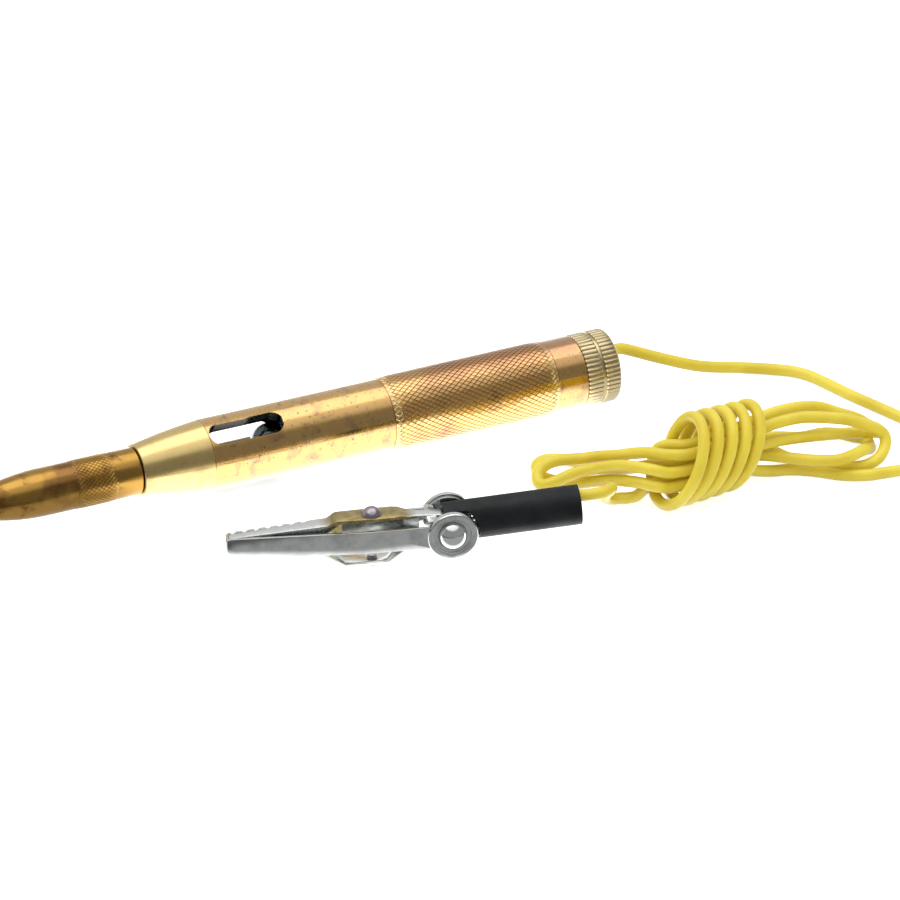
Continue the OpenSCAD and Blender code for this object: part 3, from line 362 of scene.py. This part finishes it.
def aged_brass(name, clean, brown, stain, pits, patch_mm, pit_share, rough, pit_mm=0.588, turned_mm=0.35,
               painted_shade_within_mm=0, top_tint="", lacquer=0.9):
    """Turned brass under old lacquer: warm and bright, browned in patches, with orange stains and dark
    pits. Inside a given radius it is painted black, a painted shade for its bore and the cut walls of its
    slots, and along the top of its rear part it is browner in patches of a given colour. The lathe lines
    are drawn coarser than real ones, so that they show."""
    material = new_material(name)
    where = add(material, "ShaderNodeTexCoord", {}).outputs["Object"]
    cloud = add(material, "ShaderNodeTexNoise", {
        "Vector": where, "Scale": 1000 / patch_mm, "Detail": 7, "Roughness": 0.62, "Distortion": 0.4})
    metal = add(material, "ShaderNodeValToRGB", {"Fac": cloud.outputs["Fac"]},
                stops=[(0.3, linear(brown)), (0.44, linear(clean)), (0.66, linear(clean))])
    stain_mm = patch_mm / 0.55
    blot = add(material, "ShaderNodeTexNoise", {"Vector": where, "Scale": 1000 / stain_mm, "Detail": 4})
    blots = add(material, "ShaderNodeMapRange", {
        "Value": blot.outputs["Fac"], "From Min": 0.57, "From Max": 0.7})
    stained = add(material, "ShaderNodeMix", {
        0: blots.outputs["Result"], 6: metal.outputs["Color"], 7: linear(stain)}, data_type="RGBA")
    # Browner in patches of the given colour along the top of the rear part.
    if top_tint:
        place = add(material, "ShaderNodeSeparateXYZ", {"Vector": where}).outputs
        top = add(material, "ShaderNodeMapRange", {
            "Value": place["Z"], "From Min": 9.5 * MM, "From Max": 12.8 * MM})
        rear = add(material, "ShaderNodeMapRange", {
            "Value": place["X"], "From Min": 12 * MM, "From Max": 26 * MM})
        both_ways = add(material, "ShaderNodeMath", {0: top.outputs["Result"], 1: rear.outputs["Result"]},
                        operation="MULTIPLY")
        top_patches = add(material, "ShaderNodeMath", {0: both_ways.outputs["Value"], 1: blot.outputs["Fac"]},
                   operation="MULTIPLY")
        share = add(material, "ShaderNodeMapRange", {
            "Value": top_patches.outputs["Value"], "From Min": 0.05, "From Max": 0.5, "To Max": 0.75})
        stained = add(material, "ShaderNodeMix", {
            0: share.outputs["Result"], 6: stained.outputs[2], 7: linear(top_tint)}, data_type="RGBA")
    specks = add(material, "ShaderNodeTexNoise", {
        "Vector": where, "Scale": 1000 / pit_mm, "Detail": 3, "Roughness": 0.7})
    pitted = add(material, "ShaderNodeMapRange", {
        "Value": specks.outputs["Fac"], "From Min": 0.70 - pit_share, "From Max": 0.76 - pit_share})
    colour = add(material, "ShaderNodeMix", {
        0: pitted.outputs["Result"], 6: stained.outputs[2], 7: linear(pits)}, data_type="RGBA")
    across = add(material, "ShaderNodeVectorMath", {0: where, 1: (0, 0, -AXIS_Z)}, operation="ADD")
    radial = add(material, "ShaderNodeVectorMath", {0: across.outputs["Vector"], 1: (0, 1, 1)},
                 operation="MULTIPLY")
    radius = add(material, "ShaderNodeVectorMath", {0: radial.outputs["Vector"]}, operation="LENGTH")
    inside = add(material, "ShaderNodeMapRange", {
        "Value": radius.outputs["Value"], "From Min": (painted_shade_within_mm - 0.1) * MM, "From Max": painted_shade_within_mm * MM,
        "To Min": 1.0, "To Max": 0.0})
    # Painted shade: inside the given radius, the bore and the slots' cut walls are painted near black.
    painted_shade_inside = add(material, "ShaderNodeMix", {
        0: inside.outputs["Result"], 6: colour.outputs[2], 7: linear("#1A140C")}, data_type="RGBA")
    dull = add(material, "ShaderNodeMapRange", {
        "Value": cloud.outputs["Fac"], "From Min": 0.35, "From Max": 0.62, "To Min": rough[1],
        "To Max": rough[0]})
    long_way_round = 12
    along = add(material, "ShaderNodeMapping", {
        "Vector": where, "Scale": (1000 / turned_mm, long_way_round, long_way_round)})
    lines = add(material, "ShaderNodeTexNoise", {
        "Vector": along.outputs["Vector"], "Scale": 1.0, "Detail": 4})
    tool_marks = add(material, "ShaderNodeBump", {
        "Height": lines.outputs["Fac"], "Strength": 0.35, "Distance": 0.01 * MM})
    dents = add(material, "ShaderNodeBump", {
        "Height": pitted.outputs["Result"], "Strength": 0.6, "Distance": 0.02 * MM,
        "Normal": tool_marks.outputs["Normal"]}, invert=True)
    add(material, "Principled BSDF", {
        "Base Color": painted_shade_inside.outputs[2], "Metallic": 1.0, "Roughness": dull.outputs["Result"],
        "Normal": dents.outputs["Normal"], "Coat Weight": lacquer, "Coat Roughness": 0.12, "Coat IOR": 2.1})
    return material


# The barrel's brass is the most pitted, and its polish still mirrors the table.
# Its bore and the cut walls of its slots, inside 6 mm of the axis, are painted black as painted shade.
barrel_brass = aged_brass("aged_barrel_brass", clean="#CC9C3C", brown="#8A5C24", stain="#A46A2E",
                          pits="#54320F", patch_mm=3, pit_share=0.085, rough=(0.15, 0.32), painted_shade_within_mm=6.0,
                          top_tint="#A46630")
barrel_outline = [
    (-18.7, 4.79), (-15.25, 4.79), (-15.2, 6.17), (-15.1, 6.25), (17.75, 6.25), (17.95, 6.05),
    (48.35, 6.05), (48.55, 6.25), (53.7, 6.25), (53.8, 6.15), (53.8, 5), (47.75, 5), (47.75, 4.4),
    (2.7, 4.4), (2.7, 3.95), (-18.7, 3.95)]
barrel_tube = new_piece("barrel_tube", turned(barrel_outline, 128), barrel_brass, "pen",
                        ["barrel"])
SLOT_W, SLOT_FROM, SLOT_TO, CUTTER_REACH = 4.1 * MM, -15.0 * MM, -1.6 * MM, 9 * MM
cutters = bmesh.new()
for angle in (0, 120, 240):
    bm = bmesh.new()
    bmesh.ops.create_circle(bm, cap_ends=True, segments=48, radius=SLOT_W / 2)
    for vert in bm.verts:
        vert.co.x += SLOT_TO - SLOT_W / 2 if vert.co.x > 1e-9 else SLOT_FROM + SLOT_W / 2
    rim = bmesh.ops.extrude_face_region(bm, geom=bm.faces[:])
    bmesh.ops.translate(bm, verts=[v for v in rim["geom"] if isinstance(v, bmesh.types.BMVert)],
                        vec=(0, 0, CUTTER_REACH))
    bmesh.ops.recalc_face_normals(bm, faces=bm.faces)
    bmesh.ops.rotate(bm, verts=bm.verts, cent=(0, 0, 0),
                     matrix=Matrix.Rotation(math.radians(angle - 90), 3, "X"))
    bmesh.ops.translate(bm, verts=bm.verts, vec=(0, 0, AXIS_Z))
    one = bpy.data.meshes.new("slot")
    bm.to_mesh(one)
    bm.free()
    cutters.from_mesh(one)
slots_mesh = bpy.data.meshes.new("slots")
cutters.to_mesh(slots_mesh)
cutters.free()
slots = bpy.data.objects.new("slots", slots_mesh)
scene.collection.objects.link(slots)
cut_with(barrel_tube, slots)
edge = barrel_tube.modifiers.new("milled_edge", "BEVEL")
edge.width = 0.14 * MM
edge.segments = 2
edge.limit_method = "ANGLE"
edge.angle_limit = math.radians(50)
smooth(barrel_tube.data, 35)


# Knurled grip: two crossing sets of grooves at 30 degrees rolled into the barrel, which leave
# flat-topped diamonds. A turned grid is poked, its first edges are dissolved, and each diamond is inset.
def knurl(name, x_from, x_to, top_r, groove_r, round_count, step, groove, fade, material, body, nodes):
    """A band of knurling from x_from to x_to, closed against the piece that it is rolled into by a rim
    that runs into that piece. The diamonds grow to their full height over the length fade from each end."""
    rim_out, rim_down, least_height = 0.1 * MM, 0.3 * MM, 0.1
    bm = bmesh.new()
    rows = round((x_to - x_from) / step)
    line = [bm.verts.new((x_from + (x_to - x_from) * i / rows, 0, AXIS_Z + groove_r))
            for i in range(rows + 1)]
    edges = [bm.edges.new((a, b)) for a, b in zip(line, line[1:])]
    bmesh.ops.spin(bm, geom=line + edges, cent=(0, 0, AXIS_Z), axis=(1, 0, 0), angle=2 * math.pi,
                   steps=round_count, use_merge=True)
    bmesh.ops.remove_doubles(bm, verts=bm.verts, dist=MERGE)
    bmesh.ops.recalc_face_normals(bm, faces=bm.faces)
    first = [e for e in bm.edges if not e.is_boundary]
    bmesh.ops.poke(bm, faces=bm.faces)
    bmesh.ops.dissolve_edges(bm, edges=first)

    def put(vert, radius, shift=0):
        """Moves a corner to that radius from the pen's axis, and by shift along it."""
        out = Vector((0, vert.co.y, vert.co.z - AXIS_Z)).normalized()
        vert.co = Vector((0, 0, AXIS_Z)) + Vector((vert.co.x + shift, 0, 0)) + out * radius

    for vert in bm.verts:
        put(vert, groove_r)
    pads = [f for f in bm.faces if len(f.verts) == 4]
    bmesh.ops.inset_individual(bm, faces=pads, thickness=groove)
    for face in pads:
        for vert in face.verts:
            full = max(least_height, min(1, (vert.co.x - x_from) / fade, (x_to - vert.co.x) / fade))
            put(vert, groove_r + (top_r - groove_r) * full)
    rim = bmesh.ops.extrude_edge_only(bm, edges=[e for e in bm.edges if e.is_boundary])
    for vert in [v for v in rim["geom"] if isinstance(v, bmesh.types.BMVert)]:
        side = 1 if vert.co.x > (x_from + x_to) / 2 else -1
        put(vert, groove_r - rim_down, side * rim_out)
    bmesh.ops.recalc_face_normals(bm, faces=bm.faces)
    new_piece(name, bm, material, body, nodes, crease=12)


# The grip's brass is redder, because hands have worn its lacquer.
grip_brass = aged_brass("aged_grip_brass", clean="#DAB56A", brown="#B5884E", stain="#BD8650",
                        pits="#6A4320", patch_mm=5, pit_share=0.0, rough=(0.2, 0.36), top_tint="#A5682E",
                        lacquer=0.7)
knurl("barrel_knurl", x_from=17.9 * MM, x_to=48.4 * MM, top_r=6.46 * MM, groove_r=6.28 * MM,
      round_count=46, step=1.3 * MM, groove=0.12 * MM, fade=2.2 * MM, material=grip_brass, body="pen",
      nodes=["barrel"])

# Nose cone: turned from a paler, greener brass, with fine lathe lines all round it. It is pushed into
# the barrel's front and holds the needle, and its flank swells a little between its ends.
nose_brass = aged_brass("pale_nose_brass", clean="#D2B464", brown="#B8984A", stain="#C2A254",
                        pits="#80602C", patch_mm=5, pit_share=-0.03, turned_mm=0.22, rough=(0.24, 0.36),
                        lacquer=0.8)
CONE_FROM, CONE_LENGTH, CONE_D, CONE_GROWTH, SWELL = -27.2, 12, 9, 3.4, 0.35
flank = []
for i in range(1, 17):
    t = i / 16
    flank.append((CONE_FROM + CONE_LENGTH * t, (CONE_D + CONE_GROWTH * t) / 2 + SWELL * 4 * t * (1 - t) / 2))
nose_outline = [(-33.2, 1.01), (-33.2, 2.8), (CONE_FROM, 2.8), (CONE_FROM, 4.38), (-27.1, 4.5)] + flank + [
    (-15.25, 6.15), (-15.25, 4.8), (-18.75, 4.8), (-18.75, 2.01), (-20.35, 2.01), (-20.35, 1.01)]
new_piece("nose", turned(nose_outline, 128), nose_brass, "pen", ["nose_cone"])

# Needle: a hardened steel pin with a head, held in the nose cone and under the front cap at rest.
# Ground steel: cool and bright, with fine rings of grinding marks round it, six to the millimetre.
GRIND_MM, GRIND_LENGTH_MM = 1 / 6, 5
needle_steel = new_material("ground_needle_steel")
where = add(needle_steel, "ShaderNodeTexCoord", {}).outputs["Object"]
grind = add(needle_steel, "ShaderNodeMapping", {
    "Vector": where, "Scale": (1000 / GRIND_MM, 1000 / GRIND_LENGTH_MM, 1000 / GRIND_LENGTH_MM)})
scratches = add(needle_steel, "ShaderNodeTexNoise", {
    "Vector": grind.outputs["Vector"], "Scale": 1.0, "Detail": 3})
sheen = add(needle_steel, "ShaderNodeMapRange", {
    "Value": scratches.outputs["Fac"], "To Min": 0.18, "To Max": 0.34})
add(needle_steel, "Principled BSDF", {
    "Base Color": linear("#C9CBCE"), "Metallic": 1.0, "Roughness": sheen.outputs["Result"]})
needle_outline = [(-53.2, 0.0), (-53.2, 0.06), (-53.1, 0.12), (-48.2, 1.0), (-20.3, 1.0), (-20.3, 2.0),
                  (-18.8, 2.0), (-18.8, 0.0)]
new_piece("needle_pin", turned(needle_outline, 48), needle_steel, "pen", ["needle"])

# Front cap: a turned and bored brass cap over the needle, browner than the barrel, with a light knurl.
# Its outline runs forward from its mouth, and its front is a bow that ends in a small round tip.
cap_brass = aged_brass("brown_cap_brass", clean="#A88038", brown="#6C4820", stain="#7E5828",
                       pits="#4E3016", patch_mm=4, pit_share=0.0, turned_mm=0.5, rough=(0.2, 0.36),
                       lacquer=0.1)
MOUTH_X = -27.25
cap_r, tip_r, straight, length = 4.05, 1.0, 16.8, 33.0
run = length - straight - tip_r
bow = (run * run + (cap_r - tip_r) ** 2) / (2 * (cap_r - tip_r))
outline = [(0, 2.85), (0, cap_r - 0.25), (0.08, cap_r - 0.1), (0.25, cap_r), (4.6, cap_r),
           (4.62, cap_r - 0.08), (11.78, cap_r - 0.08), (11.8, cap_r), (straight, cap_r)]
for i in range(1, 25):
    s = run * i / 24
    outline.append((straight + s, cap_r - bow + math.sqrt(bow * bow - s * s)))
for i in range(1, 9):
    a = math.pi / 2 * i / 8
    outline.append((length - tip_r + tip_r * math.sin(a), tip_r * math.cos(a)))
outline += [(27, 0), (27, 1.5), (18.8, 1.5), (18.8, 2.3), (6.5, 2.3), (6.5, 2.85)]
new_piece("cap_shell", turned([(MOUTH_X - x, r) for x, r in outline], 96), cap_brass, "front_cap",
          ["front_cap"], crease=30)
knurl("cap_knurl", x_from=-39.03 * MM, x_to=-31.87 * MM, top_r=4.13 * MM, groove_r=4.07 * MM,
      round_count=38, step=0.9 * MM, groove=0.08 * MM, fade=1.5 * MM, material=cap_brass,
      body="front_cap", nodes=["front_cap"])

# Rear cap: turned brass, screwed into the barrel, with two straight-knurled bands and a bright groove
# between them. Its brass is the dullest and palest. Only its skin, beyond RIBBED_R, is ribbed.
rear_brass = aged_brass("dull_rear_brass", clean="#B5A06A", brown="#9A8552", stain="#A6915E",
                        pits="#5F5232", patch_mm=3, pit_share=-0.02, rough=(0.26, 0.42))
RIBS, RIB_DEPTH, RIB_STEEPNESS, RIBBED_R = 44, 0.14 * MM, 4.6, 6.02 * MM
bm = turned([(53.85, 3.8), (53.85, 6.05), (53.95, 6.2), (54.15, 6.3), (56.5, 6.3), (56.7, 6.2),
             (56.72, 5.95), (57.28, 5.95), (57.3, 6.2), (57.5, 6.3), (59.6, 6.3), (59.85, 6.2),
             (60.15, 5.8), (60.2, 5.6), (60.2, 1.85), (57.6, 1.85), (57.6, 3.8)], RIBS * 6)
for vert in bm.verts:
    out = Vector((0, vert.co.y, vert.co.z - AXIS_Z))
    if out.length < RIBBED_R:
        continue
    turn = math.atan2(out.y, out.z) / (2 * math.pi) * RIBS % 1
    vert.co -= out.normalized() * (max(0.0, 1 - abs(turn - 0.5) * RIB_STEEPNESS) * RIB_DEPTH)
new_piece("rear_cap_ribbed", bm, rear_brass, "rear_cap", ["rear_cap"], crease=25)
new_piece("rear_cap_thread", turned([(47.8, 3.8), (47.8, 4.95), (53.85, 4.95), (53.85, 3.8)], 96),
          rear_brass, "rear_cap", ["rear_cap"])

# Lamp: a clear midget bulb in a brass shell that drops into the barrel against its flange. The dome
# and the straight wall are one outline, outside and inside.
# Blown soda glass: clear and a little grey with age, with faint waves in its surface.
WAVE_MM = 3.33
clear_glass = new_material("clear_soda_glass")
where = add(clear_glass, "ShaderNodeTexCoord", {}).outputs["Object"]
waves = add(clear_glass, "ShaderNodeTexNoise", {"Vector": where, "Scale": 1000 / WAVE_MM})
ripple = add(clear_glass, "ShaderNodeBump", {
    "Height": waves.outputs["Fac"], "Strength": 0.1, "Distance": 0.02 * MM})
add(clear_glass, "Principled BSDF", {
    "Base Color": linear("#7C8486"), "Roughness": 0.05, "IOR": 1.51, "Transmission Weight": 1.0,
    "Normal": ripple.outputs["Normal"]})
glass_r, glass_wall, glass_from, glass_to = 2.95, 0.4, -6.1, 3.5
inner_r = glass_r - glass_wall
quarter = [math.pi / 2 * i / 16 for i in range(17)]
outline = [(glass_from + glass_r - glass_r * math.cos(a), glass_r * math.sin(a)) for a in quarter]
outline += [(glass_to, glass_r), (glass_to, inner_r)]
outline += [(glass_from + glass_wall + inner_r - inner_r * math.cos(a), inner_r * math.sin(a))
            for a in reversed(quarter)]
new_piece("lamp_bulb", turned(outline, 64), clear_glass, "pen", ["lamp_glass"], crease=60)


def plain_finish(name, colour, rough, grain_mm, depth_mm, metallic=1.0, darker=0.75, **more):
    """A finish with a little variation of colour and gloss at the size of its grain."""
    material = new_material(name)
    where = add(material, "ShaderNodeTexCoord", {}).outputs["Object"]
    grain = add(material, "ShaderNodeTexNoise", {"Vector": where, "Scale": 1000 / grain_mm, "Detail": 4})
    light = linear(colour)
    dark = tuple(c * darker for c in light[:3]) + (1,)
    tone = add(material, "ShaderNodeValToRGB", {"Fac": grain.outputs["Fac"]},
               stops=[(0.35, dark), (0.6, light)])
    gloss = add(material, "ShaderNodeMapRange", {
        "Value": grain.outputs["Fac"], "From Min": 0.3, "From Max": 0.7, "To Min": rough + 0.08,
        "To Max": rough})
    relief = add(material, "ShaderNodeBump", {
        "Height": grain.outputs["Fac"], "Strength": 0.4, "Distance": depth_mm * MM})
    add(material, "Principled BSDF", {
        "Base Color": tone.outputs["Color"], "Metallic": metallic, "Roughness": gloss.outputs["Result"],
        "Normal": relief.outputs["Normal"], **more})
    return material


# The shell is drawn brass with a satin shine, the filament dark tungsten, the insulator glossy black
# glass, the contact a dull blob of solder, and the tube round the spring brown pressed fibre.
shell_brass = plain_finish("drawn_shell_brass", "#B79A55", rough=0.3, grain_mm=1.5, depth_mm=0.01)
dress("lamp_base", shell_brass)
dress("lamp_filament", plain_finish("tungsten_wire", "#55555A", rough=0.45, grain_mm=0.3, depth_mm=0.005))
dress("lamp_insulator", plain_finish("black_lamp_glass", "#14120F", rough=0.25, grain_mm=0.8,
                                     depth_mm=0.01, metallic=0.0, IOR=1.5))
solder = plain_finish("dull_solder", "#B4B6BA", rough=0.42, grain_mm=0.6, depth_mm=0.03)
dress("lamp_contact", solder)
dress("insulating_tube", plain_finish("pressed_fibre", "#6B4126", rough=0.7, grain_mm=0.5, depth_mm=0.03,
                                      metallic=0.0, IOR=1.45))

# Contact behind the lamp: a spring of drawn steel wire, grey with a soft shine, a brass disc, and the
# soldered copper core of the lead. The core's other end is soldered into the clip.
spring_wire = plain_finish("drawn_spring_wire", "#85878B", rough=0.32, grain_mm=0.4, depth_mm=0.005)
dress("contact_spring", spring_wire)
dress("contact_disc", shell_brass)
dress("disc_solder", solder)
copper = plain_finish("stranded_copper", "#C98258", rough=0.35, grain_mm=0.25, depth_mm=0.03)
dress("lead_core_front", copper)
dress("lead_core_rear", copper)
dress("clip_solder", solder)

# Rear bush: a black insulator, moulded and satin, that sits inside the rear cap. Its neck lines the
# hole in the cap's end round the lead.
bush_black = plain_finish("moulded_black_bush", "#1B1B1C", rough=0.4, grain_mm=0.6, depth_mm=0.01,
                          metallic=0.0, IOR=1.5)
bush_outline = [(53.8, 1.6), (53.8, 3.75), (57.55, 3.75), (57.55, 1.8), (60.15, 1.8), (60.2, 1.7),
                (60.2, 1.01), (55.75, 1.01), (55.75, 1.6)]
new_piece("bush", turned(bush_outline, 64), bush_black, "lead_end", ["rear_bush"])

# Clip jaws: pressed nickel-plated steel, blanked, folded to channels and barrelled, so that every
# edge is a little round. Each starts from its merged solid, and its corners are bevelled.
# Barrelled nickel plate: silvery and fairly bright, with a light haze and soft dents from the press.
HAZE_MM, DENT_MM = 2.86, 5
nickel = new_material("barrelled_nickel_plate")
where = add(nickel, "ShaderNodeTexCoord", {}).outputs["Object"]
haze = add(nickel, "ShaderNodeTexNoise", {
    "Vector": where, "Scale": 1000 / HAZE_MM, "Detail": 5, "Roughness": 0.6})
tone = add(nickel, "ShaderNodeValToRGB", {"Fac": haze.outputs["Fac"]},
           stops=[(0.3, linear("#BFC3C1")), (0.6, linear("#DEE1DF"))])
gloss = add(nickel, "ShaderNodeMapRange", {
    "Value": haze.outputs["Fac"], "From Min": 0.3, "From Max": 0.7, "To Min": 0.26, "To Max": 0.14})
soft = add(nickel, "ShaderNodeTexNoise", {"Vector": where, "Scale": 1000 / DENT_MM, "Detail": 2})
press = add(nickel, "ShaderNodeBump", {"Height": soft.outputs["Fac"], "Strength": 0.3, "Distance": 0.15 * MM})
add(nickel, "Principled BSDF", {
    "Base Color": tone.outputs["Color"], "Metallic": 1.0, "Roughness": gloss.outputs["Result"],
    "Normal": press.outputs["Normal"]})


def pressed(name, node, material, body, round_mm, fold_y=math.inf, fold_mm=0.0):
    """A CAD node's shape, merged, with its corners rounded by round_mm. The corners that lie further
    than fold_y millimetres to a side of the clip's middle are first rounded by fold_mm."""
    bm = bmesh.new()
    bm.from_mesh(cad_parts[node].data)
    bmesh.ops.remove_doubles(bm, verts=bm.verts, dist=0.002 * MM)
    bmesh.ops.dissolve_limit(bm, angle_limit=math.radians(1.5), verts=bm.verts, edges=bm.edges)
    to_clip = CLIP_AT.inverted()

    def corners(angle):
        """The edges where two faces meet at more than that many degrees."""
        return [e for e in bm.edges
                if len(e.link_faces) == 2 and e.calc_face_angle(0) > math.radians(angle)]

    folds = [e for e in corners(69) if all(abs((to_clip @ v.co / MM).y) > fold_y for v in e.verts)]
    if folds:
        bmesh.ops.bevel(bm, geom=folds, offset=fold_mm * MM, segments=4, profile=0.5, affect="EDGES",
                        material=-1, clamp_overlap=True)
    bmesh.ops.bevel(bm, geom=corners(40), offset=round_mm * MM, segments=2, profile=0.5, affect="EDGES",
                    material=-1, clamp_overlap=True)
    new_piece(name, bm, material, body, [node], crease=40)


pressed("lower_jaw", "clip_lower_jaw", nickel, "lead_end", round_mm=0.1, fold_y=3.9,
        fold_mm=0.38)

# The upper jaw's nickel is rubbed through over the rivet, to the brown of the copper and brass flash
# below it, and is duller there.
RUBBED_MM = 2
worn_nickel = new_material("worn_nickel_strap")
where = add(worn_nickel, "ShaderNodeTexCoord", {}).outputs["Object"]
along = in_clip_frame(worn_nickel, where)["X"]
behind_tip = add(worn_nickel, "ShaderNodeMapRange", {
    "Value": along, "From Min": -9 * MM, "From Max": -6.5 * MM})
before_neck = add(worn_nickel, "ShaderNodeMapRange", {
    "Value": along, "From Min": 5.5 * MM, "From Max": 7.5 * MM, "To Min": 1.0, "To Max": 0.0})
rubbed = add(worn_nickel, "ShaderNodeMath", {
    0: behind_tip.outputs["Result"], 1: before_neck.outputs["Result"]}, operation="MULTIPLY")
haze = add(worn_nickel, "ShaderNodeTexNoise", {
    "Vector": where, "Scale": 1000 / RUBBED_MM, "Detail": 5, "Roughness": 0.6})
flash = add(worn_nickel, "ShaderNodeValToRGB", {"Fac": haze.outputs["Fac"]},
            stops=[(0.35, linear("#8D7C4E")), (0.62, linear("#B9A878"))])
tone = add(worn_nickel, "ShaderNodeMix", {
    0: rubbed.outputs["Value"], 6: linear("#DADCDA"), 7: flash.outputs["Color"]}, data_type="RGBA")
gloss = add(worn_nickel, "ShaderNodeMapRange", {
    "Value": haze.outputs["Fac"], "From Min": 0.3, "From Max": 0.7, "To Min": 0.34, "To Max": 0.2})
add(worn_nickel, "Principled BSDF", {
    "Base Color": tone.outputs[2], "Metallic": 1.0, "Roughness": gloss.outputs["Result"]})
pressed("upper_jaw", "clip_upper_jaw", worn_nickel, "clip_jaw", round_mm=0.1)

# Pivot: a steel rivet through the jaws' ears, with big domes over them. Each dome is a few points spun
# about the rivet's axis. Polished nickel: a near mirror, pale and almost even.
polished = plain_finish("polished_nickel", "#EEEFEF", rough=0.08, grain_mm=2.0, depth_mm=0.01, darker=0.9)
PIVOT, PIVOT_HALF, PIVOT_R = Vector((13, 0, 6.5)) * MM, 3.55, 1.2


def domed(bm, at, axis, radius, height, rings=10, steps=48):
    """A dome of that radius and height on a point, spun about its axis."""
    ball = (radius * radius + height * height) / (2 * height)
    turn = math.asin(radius / ball)
    side = axis.orthogonal().normalized()
    line = []
    for i in range(rings + 1):
        a = turn * i / rings
        line.append(bm.verts.new(at + axis * (height - ball + ball * math.cos(a))
                                 + side * ball * math.sin(a)))
    line.append(bm.verts.new(at))
    edges = [bm.edges.new((a, b)) for a, b in zip(line, line[1:])]
    bmesh.ops.spin(bm, geom=line + edges, cent=at, axis=axis, angle=2 * math.pi, steps=steps, use_merge=True)
    bmesh.ops.remove_doubles(bm, verts=bm.verts, dist=MERGE)
    bmesh.ops.recalc_face_normals(bm, faces=bm.faces)


bm = bmesh.new()
for s in (-1, 1):
    domed(bm, PIVOT + Vector((0, s * PIVOT_HALF, 0)) * MM, Vector((0, s, 0)), radius=2.5 * MM,
          height=1.8 * MM)
shank = bmesh.ops.create_cone(bm, cap_ends=True, segments=32, radius1=PIVOT_R * MM, radius2=PIVOT_R * MM,
                              depth=2 * PIVOT_HALF * MM)
bmesh.ops.rotate(bm, verts=shank["verts"], cent=(0, 0, 0), matrix=Matrix.Rotation(math.pi / 2, 3, "X"))
bmesh.ops.translate(bm, verts=shank["verts"], vec=PIVOT)
bmesh.ops.transform(bm, matrix=CLIP_AT, verts=bm.verts)
new_piece("pivot_rivet", bm, polished, "lead_end", ["clip_pivot"])

# Jaw rivets: a low domed steel rivet through each jaw's strap, stained a little purple, and between
# the jaws the steel spring that closes them.
stained_steel = plain_finish("stained_rivet_steel", "#A9A3A8", rough=0.22, grain_mm=1.2, depth_mm=0.02)
RIVET_R, RIVET_LENGTH = 0.8, 1.1
for name, node, body, z, up in (("upper_rivet", "clip_upper_rivet", "clip_jaw", 10.05, 1),
                                ("lower_rivet", "clip_lower_rivet", "lead_end", 1.35, -1)):
    bm = bmesh.new()
    domed(bm, Vector((0, 0, z)) * MM, Vector((0, 0, up)), radius=1.7 * MM, height=1.2 * MM, rings=8,
          steps=40)
    shank = bmesh.ops.create_cone(bm, cap_ends=True, segments=24, radius1=RIVET_R * MM,
                                  radius2=RIVET_R * MM, depth=RIVET_LENGTH * MM)
    bmesh.ops.translate(bm, verts=shank["verts"], vec=(0, 0, (z - up * RIVET_LENGTH / 2) * MM))
    bmesh.ops.transform(bm, matrix=CLIP_AT, verts=bm.verts)
    new_piece(name, bm, stained_steel, body, [node])
dress("clip_spring", spring_wire)

# Sleeve: a short length of black rubber tube, cut square and pushed over the jaws' tails and the lead.
# Extruded rubber: nearly black, with a low uneven sheen where it is scuffed, and a fine matt skin that
# is drawn coarser than the real one, so that it shows.
SCUFF_MM, SKIN_MM = 3.85, 0.385
black_rubber = new_material("black_rubber_tube")
where = add(black_rubber, "ShaderNodeTexCoord", {}).outputs["Object"]
scuff = add(black_rubber, "ShaderNodeTexNoise", {
    "Vector": where, "Scale": 1000 / SCUFF_MM, "Detail": 6, "Roughness": 0.6})
tone = add(black_rubber, "ShaderNodeValToRGB", {"Fac": scuff.outputs["Fac"]},
           stops=[(0.4, linear("#0D1214")), (0.72, linear("#181E21"))])
gloss = add(black_rubber, "ShaderNodeMapRange", {
    "Value": scuff.outputs["Fac"], "From Min": 0.3, "From Max": 0.7, "To Min": 0.62, "To Max": 0.46})
fine = add(black_rubber, "ShaderNodeTexNoise", {"Vector": where, "Scale": 1000 / SKIN_MM, "Detail": 3})
matt = add(black_rubber, "ShaderNodeBump", {
    "Height": fine.outputs["Fac"], "Strength": 0.5, "Distance": 0.04 * MM})
add(black_rubber, "Principled BSDF", {
    "Base Color": tone.outputs["Color"], "Roughness": gloss.outputs["Result"], "Specular IOR Level": 0.3,
    "Normal": matt.outputs["Normal"]})
pressed("sleeve", "clip_sleeve", black_rubber, "lead_end", round_mm=0.12)
